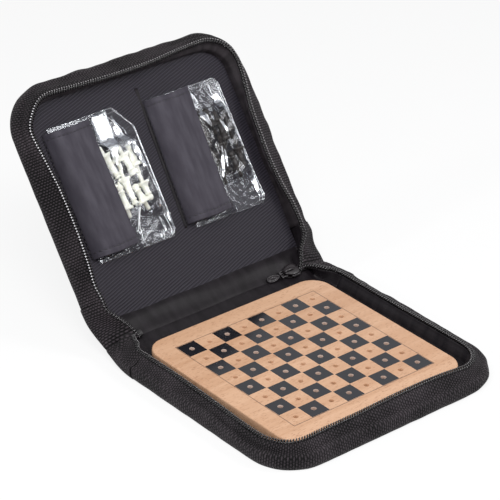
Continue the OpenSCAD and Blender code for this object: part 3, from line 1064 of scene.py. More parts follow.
@dataclass
class CaseHalf:
    """One half of the soft case: its cover, its inner band, its zip coil and its stitching.

    The foot is the band's inset at the floor, on the left, the far side and the right. The turn
    gives the rim's inset and height by the distance from the middle of the spine.
    """

    side: Side
    layout: CaseLayout
    bows: Sequence[RimBow]
    floor: float
    foot: Sequence[float]
    turn: Run
    rim: Sequence[float] = (7.85, 11.0)
    band_top: Sequence[float] = (8.5, 10.15)
    crease: float = 1.2
    tuck: float = 0.0
    pinch: float = 2.0
    sink: float = 0.6
    overlap: float = 2.4
    tuck_run: float = 3.6
    wall_points: int = 34
    stitch_pitch: float = 3.2

    def __post_init__(self) -> None:
        """Works out the rim's line once."""
        self.edge, self.inward, self.arc = self.layout.outline()
        line = self.edge + self.inward * self.rim[0]
        knots = [(self.arc[0], 0, 0), (self.arc[-1], 0, 0)]
        for bow in self.bows:
            k = int(np.argmin(np.hypot(line[:, 0] - bow.x, line[:, 1] - bow.y)))
            knots.append((self.arc[k], bow.inward, bow.up))
        self.bow = Run(*knots)(self.arc)
        path, angle = self.layout.spine_path()
        reach = lengths_along(path)
        self.middle = reach[-1] / 2 - 0.5
        if self.side is Side.BASE:
            keep = reach <= self.middle + self.overlap
            self.path, self.angle, self.run = path[keep], angle[keep], reach[keep]
        else:
            keep = reach >= self.middle - self.overlap
            self.path, self.angle = path[keep][::-1], angle[keep][::-1]
            self.run = (reach[-1] - reach[keep])[::-1]
        self.ends = self.turn(self.run[-1] - self.run)

    def around(self, profile: Points) -> Points:
        """Carries a wall section round three sides.

        Args:
            profile: points of (inset, height), or one such set for each station.

        Returns:
            Stations by points by 3, in the room.
        """
        p = np.broadcast_to(profile, (len(self.arc), *profile.shape[-2:]))
        lift = ease(6.5, 10.0, p[..., 1])
        far = self.tuck * ease(0, 1, self.inward[:, 1])[:, None]
        slack = (0.55 + far) * ease(0.2, 1.2, p[..., 1]) * (1 - ease(7.0, 9.5, p[..., 1]))
        inset = p[..., 0] + self.bow[:, None, 0] * lift + slack
        z = p[..., 1] + self.bow[:, None, 1] * lift
        xy = self.edge[:, None] + self.inward[:, None] * inset[..., None]
        return self.layout.from_tray(self.side, np.concatenate([xy, z[..., None]], -1))

    def over_spine(self, left: Points, across: Points, right: Points) -> Points:
        """Carries a whole cross-section from the seam to the middle of the spine.

        Args:
            left: stations by points of (inset, height) from the left rim down.
            across: stations by points of (x, height) between the walls.
            right: stations by points of (inset, height) from the right rim down.

        Returns:
            Points in the room.
        """
        w = self.layout.half_width
        x = np.concatenate([-w + left[..., 0], across[..., 0], (w - right[..., 0])[:, ::-1]], 1)
        h = np.concatenate([left[..., 1], across[..., 1], right[:, ::-1, 1]], 1)
        return self.room(x, h)

    def room(self, x: Points, h: Points) -> Points:
        """Points over the spine, from its cross-section at each station.

        Args:
            x: places across, for each station.
            h: heights above the cover's outside, for each station.

        Returns:
            Points in the room.
        """
        a = self.angle[:, None]
        y, z = self.path[:, :1], self.path[:, 1:]
        return np.stack([x, y - np.sin(a) * h, z + np.cos(a) * h], -1)

    def wall(self) -> Points:
        """The cover's wall section from the rim's hem down to the soft bottom edge.

        Returns:
            Points of (inset, height).
        """
        knots = ((7.45, 9.75), (7.3, 10.05), (6.85, 10.1), (6.1, 9.75), (5.0, 8.85), (3.7, 7.85),
                 (2.5, 7.05), (1.35, 6.2), (0.5, 5.1), (0.08, 4.1), (0, 3.2), (0.3, 2.05),
                 (1.0, 1.0), (2.1, 0.3), (3.5, 0.0))
        s = lengths_along(np.array(knots))
        curve = Run(*[(t, *k) for t, k in zip(s, knots)])
        return curve(np.linspace(0, s[-1], self.wall_points))

    def cover(self) -> Object:
        """The outer cover of this half and its share of the spine, sewn in one piece.

        Returns:
            The object.
        """
        wall = self.wall()
        depth = lengths_along(wall)
        flip = self.side is Side.BASE
        sew = Patchwork()
        sew.patch(self.around(wall), paired(self.arc[:, None], depth[None]), flip=not flip)
        share = np.r_[0.0, 0.004, np.linspace(0, 1, 15)[1:] ** 0.8]
        start = self.edge + self.inward * wall[-1, 0]
        middle = np.array([0.0, self.layout.seam_y])
        xy = start[:, None] * (1 - share[:, None]) + middle * share[:, None]
        tray = np.concatenate([xy, np.zeros((*xy.shape[:2], 1))], -1)
        sew.patch(self.layout.from_tray(self.side, tray), xy, flip=not flip)
        scale = self.ends / np.array(self.rim)
        left = wall[None] * scale[:, None]
        left[..., 0] += (self.pinch * ease(2, self.run[-1], self.run)[:, None]
                         * (1 - ease(0.5, 0.95, wall[:, 1] / wall[:, 1].max())))
        ends = -self.layout.half_width + left[:, -1, 0]
        inner = ends[:, None] * (1 - share)
        inner = np.concatenate([inner, -inner[:, -2::-1]], 1)
        sink = self.sink * ease(self.run[-1] - self.tuck_run, self.run[-1], self.run)[:, None]
        left[..., 0] += sink
        left[..., 1] += sink
        floor = paired(inner, sink)[:, 1:-1]
        grid = self.over_spine(left, floor, left)
        run = self.run[:, None]
        walls = np.broadcast_to(depth, left.shape[:2])
        cloth = [paired(-run, walls), paired(inner[:, 1:-1], self.layout.seam_y + run),
                 paired(self.arc[-1] + run, walls[:, ::-1])]
        sew.patch(grid, np.concatenate(cloth, 1), flip=flip)
        broad, fine = Ripple(3, 18, 60), Ripple(4, 5, 14)

        def uneven(p: Points) -> Points:
            """Soft dents on the walls, less on the floor, and a crease along the walls.

            Args:
                p: points in the room.

            Returns:
                How far each moves outward.
            """
            up = self.height(p)
            soft = ease(0.5, 5, up) * (1 - ease(9.0, 10.5, up))
            seam = np.exp(-(((up - 5.9 - 0.5 * broad(p * 0.7)) / 0.7) ** 2))
            dents = soft * (0.08 * broad(p) + 0.12 * fine(p))
            return dents - self.crease * seam * soft + 0.04 * fine(p)

        name = f"{self.side.value}_cover_cloth"
        return sew.build(name, [NYLON], thick=0.9, uneven=uneven)

    def height(self, p: Points) -> Points:
        """Height of points above this half's outer face, also over the spine.

        Args:
            p: points in the room.

        Returns:
            A height for each.
        """
        if self.side is Side.BASE:
            near = p[:, 2]
        else:
            a = math.radians(self.layout.lid_tilt)
            o = self.layout.from_lid(np.zeros((1, 3)))[0]
            near = -(p[:, 1] - o[1]) * math.sin(a) + (p[:, 2] - o[2]) * math.cos(a)
        at, slope, on_path = self.layout.nearest_on_spine(p)
        over = -(p[:, 1] - at[:, 0]) * np.sin(slope) + (p[:, 2] - at[:, 1]) * np.cos(slope)
        return np.where(on_path, over, near)

    def foot_insets(self) -> Points:
        """The inset of the band's foot at each station round the three sides.

        Returns:
            One inset for each station.
        """
        side = np.abs(self.inward[:, 0])
        left_right = np.where(self.inward[:, 0] > 0, self.foot[0], self.foot[2])
        return left_right * side**2 + self.foot[1] * (1 - side**2)

    def band_profile(self, foot: Points, low: float) -> Points:
        """The inner band's section at each station: under the coil, then down to its foot.

        Args:
            foot: the inset of the band's foot at each station.
            low: the height of the foot.

        Returns:
            Stations by points by (inset, height).
        """
        t = np.linspace(0, 1, 16)
        start, high = self.band_top
        inset = start + (foot[:, None] - start) * (0.12 * t + 0.88 * t**1.3)
        z = high + (low - high) * (0.25 * t + 0.75 * t**0.9)
        head = np.broadcast_to(np.array([(7.3, 10.1), (7.9, 10.2)]), (len(foot), 2, 2))
        return np.concatenate([head, paired(inset, z)], 1)

    def band(self) -> Object:
        """The smooth band between the zip and the floor, on three sides.

        Returns:
            The object.
        """
        foot = self.foot_insets()
        curl = paired(foot[:, None] + np.array([0.35, 0.8]), np.array([self.floor - 0.6]))
        profile = np.concatenate([self.band_profile(foot, self.floor - 0.5), curl], 1)
        sew = Patchwork()
        depth = lengths_along(profile[0])
        sew.patch(self.around(profile), paired(self.arc[:, None], depth[None]),
                  flip=self.side is Side.BASE)
        tape = TAPE if self.side is Side.BASE else BAND
        return sew.build(f"{self.side.value}_zip_band", [tape], thick=0.35,
                         uneven=Ripple(8, 6, 26, high=0.12))

    def spine_wall(self, foot: float, rise: Points) -> Points:
        """The lining's section up one end of the spine, at each station of the spine path.

        Args:
            foot: the inset of its foot.
            rise: the height of the lining's floor at each station.

        Returns:
            Stations by points by (inset, height).
        """
        p = self.band_profile(np.full(len(self.run), foot), 0.0)
        share = p[..., 1] / self.band_top[1]
        drop = self.ends[:, None, 1] - 0.85
        z = rise[:, None] + (drop - rise[:, None]) * share
        inset = p[..., 0] + (self.ends[:, None, 0] - self.rim[0]) * (0.35 + 0.65 * share)
        return np.stack([inset, z], -1)

    def spine_lining(self, wrinkle: float) -> Object:
        """The inner cloth from the seam to the middle of the spine, gathered at its ends.

        Args:
            wrinkle: how high its long folds are.

        Returns:
            The object.
        """
        stop = self.run[-1]
        low = self.floor - 0.15 if self.side is Side.BASE else 2.1
        rise = Run((0, low), (8, low), (13.5, 4.1), (stop - 4, 3.5), (stop, 3.4))(self.run)[:, 0]
        left, right = self.spine_wall(self.foot[0], rise), self.spine_wall(self.foot[2], rise)
        w = self.layout.half_width
        t = np.linspace(0, 1, 61)[1:-1]
        a, b = -w + left[:, -1, 0], w - right[:, -1, 0]
        across = paired(a[:, None] * (1 - t) + b[:, None] * t, rise[:, None])
        grid = self.over_spine(left, across, right)
        long_fold, fine = Ripple(21, 9, 30, 10), Ripple(23, 3.5, 9)
        folds = long_fold(grid * np.array([0.22, 1.0, 1.0]))
        gathers = fine(grid * np.array([0.45, 0.45, 0.2]))
        ends = ease(36, 54, np.abs(grid[..., 0]))
        start = 1.0 if self.side is Side.BASE else 11.5
        away = ease(start, start + 7, self.run)[:, None]
        lift = away * (wrinkle * folds * (1 - 0.5 * ends) + 0.5 * ends * gathers)
        lift = lift - 0.7 * ease(stop - self.tuck_run, stop, self.run)[:, None]
        a = self.angle[:, None]
        grid[..., 1] -= np.sin(a) * lift
        grid[..., 2] += np.cos(a) * lift
        way = 1 if self.side is Side.BASE else -1
        sew = Patchwork()
        sew.patch(grid, paired(np.linspace(-w, w, grid.shape[1])[None], self.run[:, None] * way),
                  flip=self.side is not Side.BASE)
        return sew.build(f"{self.side.value}_spine_lining", [SMOOTH], thick=0.4)

    def coil_line(self) -> Points:
        """The zip coil's middle line from its left end to its right end.

        Returns:
            Points in the room.
        """
        rim = self.around(np.array([[self.rim[0] - 0.05, self.rim[1] + 0.3]]))[:, 0]
        w = self.layout.half_width
        inset, height = self.ends[:, :1], self.ends[:, 1:]
        left = self.room(-w + inset, height)[:, 0]
        right = self.room(w - inset, height)[:, 0]
        return respaced(np.concatenate([left[:0:-1], rim, right[1:]]), 1.0)

    def coil(
        self, pitch: float = 1.45, radius: float = 0.95, wire: float = 0.34, sides: int = 10
    ) -> Object:
        """The nylon coil: one long wound filament on a cord, with its heads.

        Args:
            pitch: the length of one turn.
            radius: the coil's radius.
            wire: the filament's radius.
            sides: points in one turn.

        Returns:
            The object.
        """
        line = self.coil_line()
        s = lengths_along(line)
        even = np.linspace(0, s[-1], int(s[-1] / pitch) * sides + 1)
        mid = np.stack([np.interp(even, s, line[:, k]) for k in range(3)], 1)
        ahead = unit(np.gradient(mid, axis=0))
        up = self.facing(mid)
        side = unit(np.cross(ahead, up))
        up = np.cross(side, ahead)
        a = even / pitch * 2 * math.pi
        wound = mid + radius * (side * np.cos(a)[:, None] * 1.15 + up * np.sin(a)[:, None] * 0.9)
        sew = Patchwork()
        sew.tube(wound, wire, sides=5)
        sew.tube(mid[::sides] - up[::sides] * 0.35, 0.4, sides=6)
        head = np.array([[-0.34, 0.0], [-0.22, 0.30], [0.0, 0.42], [0.22, 0.30], [0.34, 0.0]])
        # Slot 1 gives the heads their finish with painted sheen and painted glints.
        for k in range(3, len(even) - 4, sides):
            spot = mid[k] - side[k] * 0.75 * radius + up[k] * 0.75 * radius
            sew.tube(spot + ahead[k] * head[:, :1], head[:, 1] + 0.02, sides=6, slot=1)
        return sew.build(f"{self.side.value}_coil", [COIL, HEADS_PAINTED_GLINT], weld=False)

    def facing(self, p: Points) -> Points:
        """The way out of the tray at each point, turning over the spine."""
        _, a, _ = self.layout.nearest_on_spine(p)
        return np.stack([0 * a, -np.sin(a), np.cos(a)], 1)

    def stitching(self) -> Object:
        """Short stitches along the hem of the rim.

        Returns:
            The object.
        """
        sew = Patchwork()
        inset, z, radius = 6.3, 9.92, 0.16
        line = respaced(self.around(np.array([[inset, z]]))[:, 0], self.stitch_pitch / 4)
        up = self.facing(line)
        dive = np.array([radius, 0.0, 0.0, radius])[:, None]
        for k in range(0, len(line) - 4, 4):
            sew.tube(line[k : k + 4] - up[k : k + 4] * dive, radius, sides=6)
        return sew.build(f"{self.side.value}_rim_stitches", [THREAD], weld=False)

    def dress(self) -> list[Object]:
        """Builds this half's cloth and zip, and joins the band and stitches to the half's body.

        Returns:
            The objects.
        """
        cover, band, lining, coil, stitches = (
            self.cover(), self.band(), self.spine_lining(0.85), self.coil(), self.stitching())
        name = self.side.value
        for obj in (cover, lining, coil):
            if self.side is Side.BASE:
                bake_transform(obj)
            else:
                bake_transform(obj)
        for obj in (band, stitches):
            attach(obj, name)
        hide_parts(f"{name}_cover", f"{name}_stiffener", f"{name}_padding")
        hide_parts(f"{name}_zip_tape", f"{name}_lining")
        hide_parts(f"{name}_zip_coil")
        return [cover, band, lining, coil, stitches]


@dataclass
class FloorLining:
    """The flat lining of one half, laid inside the band with a rolled edge."""

    half: CaseHalf
    level: float
    near: float
    inset: float
    finish: Finish
    swell: float = 0.12

    def edge_line(self) -> Points:
        """The panel's outline in tray plan, closed along the near edge.

        Returns:
            Points of (x, y).
        """
        h = self.half
        xy = h.edge + h.inward * (h.foot_insets() + self.inset)[:, None]
        xy = xy[xy[:, 1] < h.layout.seam_y - 1.0]
        left, right = xy[0], xy[-1]
        up = np.linspace(0, 1, 9)[1:, None]
        right_side = right * (1 - up) + np.array([right[0], self.near]) * up
        left_side = np.array([left[0], self.near]) * (1 - up) + left * up
        t = np.linspace(0, 1, 70)[1:, None]
        back = right_side[-1] * (1 - t) + np.array([left[0], self.near]) * t
        return np.concatenate([xy, right_side, back, left_side[:-1]])

    def build(self) -> Object:
        """Builds the panel, swelling a little between its edges.

        Returns:
            The object.
        """
        line = self.edge_line()
        centre = np.array([0.0, 4.0])
        roll = [(1.0, -0.9), (1.0, -0.15), (0.998, 0.12), (0.993, 0.22), (0.983, 0.14),
                (0.965, 0.02)]
        rows = []
        for s, z in roll + [(s, 0.0) for s in np.linspace(0.93, 0.0, 34)]:
            xy = centre + (line - centre) * s
            rows.append(np.c_[xy, np.full(len(xy), self.level + z)])
        grid = np.stack(rows)
        side = self.half.side
        sew = Patchwork()
        sew.patch(self.half.layout.from_tray(side, grid), grid[..., :2], round_rows=True,
                  flip=side is Side.BASE)
        return sew.build(f"{side.value}_floor_lining", [self.finish], thick=0.3,
                         uneven=Ripple(31, 14, 50, high=self.swell))

    def dress(self) -> Object:
        """Builds the panel and joins it to its half.

        Returns:
            The object.
        """
        obj = self.build()
        name = self.half.side.value
        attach(obj, name)
        return obj


@dataclass
class LidSeam:
    """The short sewn ridge between the two bags."""

    layout: CaseLayout
    start: Sequence[float] = (2.0, 32.0)
    end: Sequence[float] = (5.0, 107.0)
    level: float = 3.75

    def build(self) -> Object:
        """Builds a low pinched ridge with a gather at its far end.

        Returns:
            The object.
        """
        a, b = np.array(self.start), np.array(self.end)
        t = np.linspace(0, 1, 60)
        mid = a + (b - a) * t[:, None]
        wide = 0.65 + 0.35 * ease(0.95, 1.0, t)
        tall = 0.45 + 0.2 * ease(0.93, 0.99, t)
        across = np.linspace(-1, 1, 9)
        x = mid[:, :1] + across * wide[:, None]
        y = mid[:, 1:] + 0.3 * np.sin(across * 9) * ease(0.93, 1, t)[:, None]
        ridge = tall[:, None] * np.exp(-((across * 1.6) ** 2))
        z = self.level + ridge - 0.25 * np.exp(-((across * 5) ** 2))
        sew = Patchwork()
        sew.patch(self.layout.from_lid(np.stack([x, y, z], -1)), np.stack([x, y], -1))
        return sew.build("lid_seam_ridge", [SMOOTH], thick=0.3)

    def dress(self) -> Object:
        """Builds the ridge and joins it to the lid.

        Returns:
            The object.
        """
        obj = self.build()
        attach(obj, "lid")
        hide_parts("lid_seam")
        return obj


@dataclass
class Pocket:
    """A satin strip sewn down along its left edge, with hems at both ends, that holds a bag."""

    name: str
    layout: CaseLayout
    left: float
    lean: float
    low: float = 33.0
    length: float = 66.0
    flat_width: float = 30.0
    hem: float = 3.0
    seed: int = 40

    def surface(self, u: Points, v: Points) -> Points:
        """Points of the strip at shares across and along, in lid plan.

        Args:
            u: shares across.
            v: shares along.

        Returns:
            Points in lid plan.
        """
        profile = Run((0, 0, 3.95), (0.03, 0.4, 5.0), (0.09, 1.6, 6.8), (0.17, 3.6, 8.9),
                      (0.28, 6.4, 10.8), (0.42, 10.0, 11.7), (0.6, 14.4, 12.05), (0.8, 19.2, 12.1),
                      (1.0, 24.0, 12.0))
        place = profile(u.ravel()).reshape(*u.shape, 2)
        y = self.low + self.length * v
        end = np.minimum(y - self.low, self.low + self.length - y)
        tuck = 0.5 * np.exp(-((end / 2.2) ** 2)) * ease(0.1, 0.4, u)
        x = self.left + place[..., 0] + self.lean * (v - 0.5)
        x = x - 0.5 * np.sin(v * math.pi) * ease(0.5, 1, u)
        return np.stack([x, y + 0.35 * np.sin(u * 5 + self.seed), place[..., 1] - tuck], -1)

    def cloth(self) -> Object:
        """The strip itself, with a groove along each hem.

        Returns:
            The object.
        """
        u, v = np.meshgrid(np.linspace(0, 1, 40), np.linspace(0, 1, 110), indexing="ij")
        p = self.surface(u, v)
        flat = np.stack([u * self.flat_width, v * self.length], -1)
        soft, fine = Ripple(self.seed, 10, 34), Ripple(self.seed + 1, 3, 8)
        end = np.minimum(v, 1 - v) * self.length
        groove = -0.28 * np.exp(-(((end - self.hem) / 0.35) ** 2))
        groove = groove + 0.18 * (1 - ease(self.hem - 0.8, self.hem, end))
        stretched = p * np.array([1.0, 0.3, 1.0])
        p[..., 2] += groove * ease(0.02, 0.1, u) + (
            0.16 * soft(stretched) + 0.05 * fine(p)) * ease(0.02, 0.3, u)
        sew = Patchwork()
        sew.patch(self.layout.from_lid(p), flat)
        return sew.build(f"{self.name}_satin", [SATIN], thick=0.45)

    def stitches(self) -> Object:
        """Stitches along both hems and down the sewn edge, each of 3 points in 4.

        Returns:
            The object.
        """
        u, v = np.linspace(0.05, 0.98, 4 * 11), np.linspace(0.01, 0.99, 4 * 24)
        seams = [(self.surface(u, np.full_like(u, y / self.length)) + (0, 0, 0.02), 0.15)
                 for y in (self.hem, self.length - self.hem)]
        seams.append((self.surface(np.full_like(v, 0.01), v) + (-0.15, 0, 0.1), 0.17))
        sew = Patchwork()
        for line, radius in seams:
            line = self.layout.from_lid(line)
            for k in range(0, len(line) - 3, 4):
                sew.tube(line[k : k + 3], radius, sides=6)
        return sew.build(f"{self.name}_stitches", [THREAD], weld=False)

    def dress(self) -> list[Object]:
        """Builds the strip and its stitches, and joins them to the lid.

        Returns:
            The objects.
        """
        cloth, stitches = self.cloth(), self.stitches()
        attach(cloth, "lid")
        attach(stitches, "lid")
        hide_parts(self.name)
        return [cloth, stitches]


# ---- the pieces


@dataclass(frozen=True)
class Turning:
    """The shared turned foot, stem and peg of a piece."""

    foot: float = 3.4
    peg: float = 1.05
    peg_length: float = 4.4

    def foot_line(self, height: float, neck: float) -> Outline:
        """Outline of the peg, the stepped foot and the stem up to a collar.

        Args:
            height: height of the collar.
            neck: radius of the collar.

        Returns:
            Points of (radius, height).
        """
        f, p, h = self.foot, self.peg, height
        return [(0, -self.peg_length), (p * 0.6, -self.peg_length), (p, 0.5 - self.peg_length),
                (p, 0), (f * 0.97, 0), (f, 0.15), (f, 0.85), (f * 0.93, 1.1), (f * 0.78, 1.45),
                (f * 0.72, 1.8), (f * 0.64, 2.2), (f * 0.54, h * 0.36), (f * 0.48, h * 0.5),
                (f * 0.45, h * 0.66), (neck * 0.72, h - 1.0), (neck * 0.98, h - 0.75),
                (neck, h - 0.55), (neck * 0.98, h - 0.2), (neck * 0.7, h)]


class Kind(Enum):
    """The kinds of piece: what a side's are called, and about how tall one is without its peg."""

    KING = ("king", 15.5)
    QUEEN = ("queen", 15.2)
    BISHOP = ("bishops", 14.5)
    KNIGHT = ("knights", 12.0)
    ROOK = ("rooks", 12.0)
    PAWN = ("pawns", 10.5)


@dataclass
class PieceMaker:
    """Makes the meshes of the pieces, each standing with its peg below the floor."""

    king: float = 15.5
    turning: Turning = field(default_factory=Turning)
    sides: int = 24

    def ball(self, radius: float, height: float, start: float, steps: int = 8) -> Outline:
        """Outline of a ball from an angle below its middle up to its top."""
        a = np.radians(np.linspace(start, 90, steps))
        return [(max(0.0, radius * math.cos(t)), height + radius * math.sin(t)) for t in a]

    def lathe(self, sew: Patchwork, outline: Outline, put: Move) -> None:
        """Turns an outline round its axis and places it.

        Args:
            sew: where the mesh goes.
            outline: points of (radius, height).
            put: moves standing points to their place.
        """
        q = np.array(outline)
        a = np.arange(self.sides) * 2 * math.pi / self.sides
        rings = np.stack([q[:, :1] * np.cos(a), q[:, :1] * np.sin(a),
                          np.broadcast_to(q[:, 1:], (len(q), self.sides))], -1)
        sew.patch(put(rings), round_rows=True, flip=True)

    def box(self, sew: Patchwork, low: Sequence[float], high: Sequence[float], put: Move) -> None:
        """Adds a small block with softened edges.

        Args:
            sew: where the mesh goes.
            low: its lowest corner.
            high: its highest corner.
            put: moves standing points to their place.
        """
        (x, y, z), (u, v, w) = low, high
        r = 0.18 * min(u - x, v - y, w - z)
        rows = []
        for i, h in ((r, z), (0, z + r), (0, w - r), (r, w)):
            rows.append([(x + i, y + r + i, h), (x + r + i, y + i, h), (u - r - i, y + i, h),
                         (u - i, y + r + i, h), (u - i, v - r - i, h), (u - r - i, v - i, h),
                         (x + r + i, v - i, h), (x + i, v - r - i, h)])
        start = sew.count
        sew.patch(put(np.array(rows)), round_rows=True)
        sew.cap(range(start + 7, start - 1, -1))
        sew.cap(range(sew.count - 8, sew.count))

    def knight_head(self, sew: Patchwork, base: float, put: Move) -> None:
        """Carves a small horse's head from stacked oval sections.

        Args:
            sew: where the mesh goes.
            base: the height it starts at.
            put: moves standing points to their place.
        """
        neck = Run((0, 0.0, 0.0, 2.0, 1.75), (0.18, -0.2, 1.3, 1.95, 1.5),
                   (0.38, -0.25, 2.9, 1.75, 1.25), (0.56, 0.15, 4.3, 1.75, 1.2),
                   (0.74, 0.95, 5.2, 1.6, 1.1), (0.9, 1.9, 5.25, 1.25, 0.9),
                   (1.0, 2.6, 4.9, 0.85, 0.7))
        q = neck(np.linspace(0, 1, 16))
        ahead = unit(np.gradient(q[:, :2], axis=0))
        sides = 14
        a = np.arange(sides) * 2 * math.pi / sides
        side = np.stack([ahead[:, 1], -ahead[:, 0]], 1)
        x = q[:, :1] + side[:, :1] * q[:, 2:3] * np.cos(a)
        z = base + q[:, 1:2] + side[:, 1:] * q[:, 2:3] * np.cos(a)
        y = q[:, 3:] * np.sin(a)
        start = sew.count
        sew.patch(put(np.stack([x, y, z], -1)), round_rows=True, flip=True)
        sew.cap(range(start, start + sides))
        sew.cap(range(sew.count - 1, sew.count - 1 - sides, -1))
        for s in (-1, 1):
            ear = np.array([(-0.4, 0.62 * s, 5.4), (-0.5, 0.7 * s, 6.3), (-0.35, 0.72 * s, 7.2)])
            ear[:, 2] += base
            sew.tube(put(ear), np.array([0.55, 0.42, 0.16]), sides=6)

    def piece(self, sew: Patchwork, kind: Kind, put: Move) -> None:
        """Adds one piece.

        Args:
            sew: where the mesh goes.
            kind: which piece.
            put: moves standing points to their place.
        """
        f, k, turn = self.turning.foot, self.king, self.turning
        if kind is Kind.PAWN:
            h = k * 0.46
            head = self.ball(f * 0.54, h + f * 0.42, -52)
            self.lathe(sew, turn.foot_line(h, f * 0.58) + head, put)
        elif kind is Kind.ROOK:
            h, w = k * 0.6, f * 0.7
            top = [(w * 0.9, h + 0.3), (w, h + 0.6), (w, h + 2.1), (w * 0.96, h + 2.2),
                   (w * 0.58, h + 2.2), (w * 0.55, h + 2.1), (w * 0.55, h + 1.1), (0, h + 1.1)]
            self.lathe(sew, turn.foot_line(h, w) + top, put)
            for quarter in range(4):
                a = quarter * math.pi / 2 + 0.78
                c, s = math.cos(a), math.sin(a)

                def turned(p: Points) -> Points:
                    """Turns points about the piece's axis, then places them."""
                    x, y, z = p[..., 0], p[..., 1], p[..., 2]
                    return put(np.stack([x * c - y * s, x * s + y * c, z], -1))

                self.box(sew, (w * 0.5, -0.8, h + 1.8), (w * 0.99, 0.8, h + 2.75), turned)
        elif kind is Kind.BISHOP:
            h = k * 0.62
            top = [(f * 0.36, h + 0.5), (f * 0.50, h + 1.1), (f * 0.54, h + 1.8),
                   (f * 0.47, h + 2.6), (f * 0.32, h + 3.4), (f * 0.17, h + 3.95)]
            top += self.ball(0.6, h + 4.35, -30, 6)
            self.lathe(sew, turn.foot_line(h, f * 0.56) + top, put)
        elif kind is Kind.KNIGHT:
            h = k * 0.28
            base = [q for q in turn.foot_line(h, f * 0.6) if q[1] < 2.3]
            top = [(f * 0.62, h), (f * 0.64, h + 0.3), (f * 0.5, h + 0.5), (0, h + 0.5)]
            self.lathe(sew, base + top, put)
            self.knight_head(sew, h + 0.2, put)
        elif kind is Kind.QUEEN:
            h = k * 0.78
            top = [(f * 0.34, h + 0.4), (f * 0.46, h + 1.1), (f * 0.66, h + 1.95),
                   (f * 0.62, h + 2.1), (f * 0.42, h + 1.9), (f * 0.3, h + 1.95)]
            top += self.ball(0.75, h + 2.4, -35, 6)
            self.lathe(sew, turn.foot_line(h, f * 0.52) + top, put)
        else:
            h = k * 0.78
            top = [(f * 0.36, h + 0.4), (f * 0.5, h + 1.0), (f * 0.6, k - 2.3),
                   (f * 0.52, k - 2.05), (0, k - 1.85)]
            self.lathe(sew, turn.foot_line(h, f * 0.54) + top, put)
            self.box(sew, (-0.36, -0.36, k - 2.1), (0.36, 0.36, k + 0.1), put)
            self.box(sew, (-0.95, -0.36, k - 1.25), (0.95, 0.36, k - 0.5), put)


@dataclass(frozen=True)
class Lying:
    """Where one piece lies in its bag, in millimetres from the bag's lower left corner."""

    kind: Kind
    across: float
    along: float
    turn: float = 90.0


# Nine pieces show beside the pocket, the rest lie under it.
HEAP = (
    Lying(Kind.BISHOP, 24.8, 25.5), Lying(Kind.KING, 24.6, 45.2, 270),
    Lying(Kind.QUEEN, 29.8, 30.5, 270), Lying(Kind.PAWN, 29.8, 48.0), Lying(Kind.PAWN, 34.9, 24.2),
    Lying(Kind.ROOK, 34.7, 44.6, 270), Lying(Kind.PAWN, 39.5, 28.6, 270),
    Lying(Kind.KNIGHT, 39.3, 43.6), Lying(Kind.PAWN, 20.8, 36.0), Lying(Kind.PAWN, 9.4, 13.2),
    Lying(Kind.BISHOP, 9.3, 27.4), Lying(Kind.ROOK, 9.3, 43.0), Lying(Kind.PAWN, 9.4, 56.0, 270),
    Lying(Kind.PAWN, 16.3, 13.2, 270), Lying(Kind.PAWN, 16.0, 26.6),
    Lying(Kind.KNIGHT, 16.4, 52.6, 270),
)
# White tails painted as highlights on the film's folds: (x, y, z) in lid plan.
GLINT_TAILS = (
    ((-24.0, 49.3, 11.4), (-26.1, 43.0, 9.0), (-27.3, 38.5, 6.6)),
    ((-24.0, 49.3, 11.6), (-26.1, 43.0, 9.3), (-25.4, 37.0, 6.4), (-25.5, 34.0, 5.4)),
)
# Strips of painted glare on the film: (x, y, half the width) in lid plan.
WHITE_GLEAMS = (
    ((-22.0, 101.3, 3.0), (-23.6, 99.4, 5.0), (-24.6, 95.0, 5.8), (-24.4, 89.0, 5.4),
     (-24.2, 84.5, 4.4), (-25.2, 80.5, 2.6), (-26.4, 76.5, 1.3), (-27.0, 73.0, 0.4)),
    ((-16.6, 97.5, 0.3), (-15.2, 91.0, 0.7), (-12.9, 81.0, 0.5), (-10.9, 70.0, 0.9),
     (-9.6, 60.0, 0.5), (-9.0, 53.0, 1.2), (-10.5, 48.0, 1.8), (-12.5, 45.5, 0.5)),
    ((-9.0, 47.5, 0.3), (-8.6, 43.0, 0.6), (-7.6, 38.5, 0.9), (-6.4, 35.0, 0.3)),
    ((-12.4, 42.0, 0.2), (-11.8, 38.0, 0.7), (-12.4, 34.5, 0.4)),
    ((-17.2, 92.0, 0.4), (-15.8, 84.0, 1.2), (-13.6, 76.0, 0.8), (-12.2, 68.0, 0.5)),
)
BLACK_GLEAMS = (
    ((48.3, 91.5, 1.2), (48.6, 85.0, 2.6), (49.6, 76.0, 1.9), (51.3, 70.0, 0.7), (50.8, 62.0, 1.2),
     (51.2, 54.5, 0.7), (50.3, 49.0, 1.7), (50.4, 41.5, 1.5), (49.8, 36.5, 0.8)),
    ((31.6, 98.0, 0.1), (32.9, 94.5, 1.6), (33.9, 90.5, 2.2), (34.2, 88.2, 1.3), (34.6, 87.0, 0.2)),
    ((32.6, 85.0, 2.0), (32.3, 81.5, 2.1), (33.4, 78.6, 1.3), (34.0, 75.8, 0.4)),
    ((37.2, 94.4, 0.25), (41.0, 96.2, 0.25), (43.6, 98.2, 0.35), (46.5, 99.0, 0.25)),
    ((43.2, 95.5, 0.2), (44.4, 92.5, 0.25), (46.4, 89.6, 0.3)),
    ((35.2, 64.5, 0.3), (33.2, 59.0, 0.7), (31.2, 54.0, 0.9), (29.6, 49.5, 0.5)),
    ((36.2, 62.5, 0.2), (35.2, 58.0, 0.6), (33.9, 53.4, 0.3)),
    ((40.4, 77.5, 0.3), (41.6, 74.5, 0.8), (42.6, 71.0, 0.4)),
)


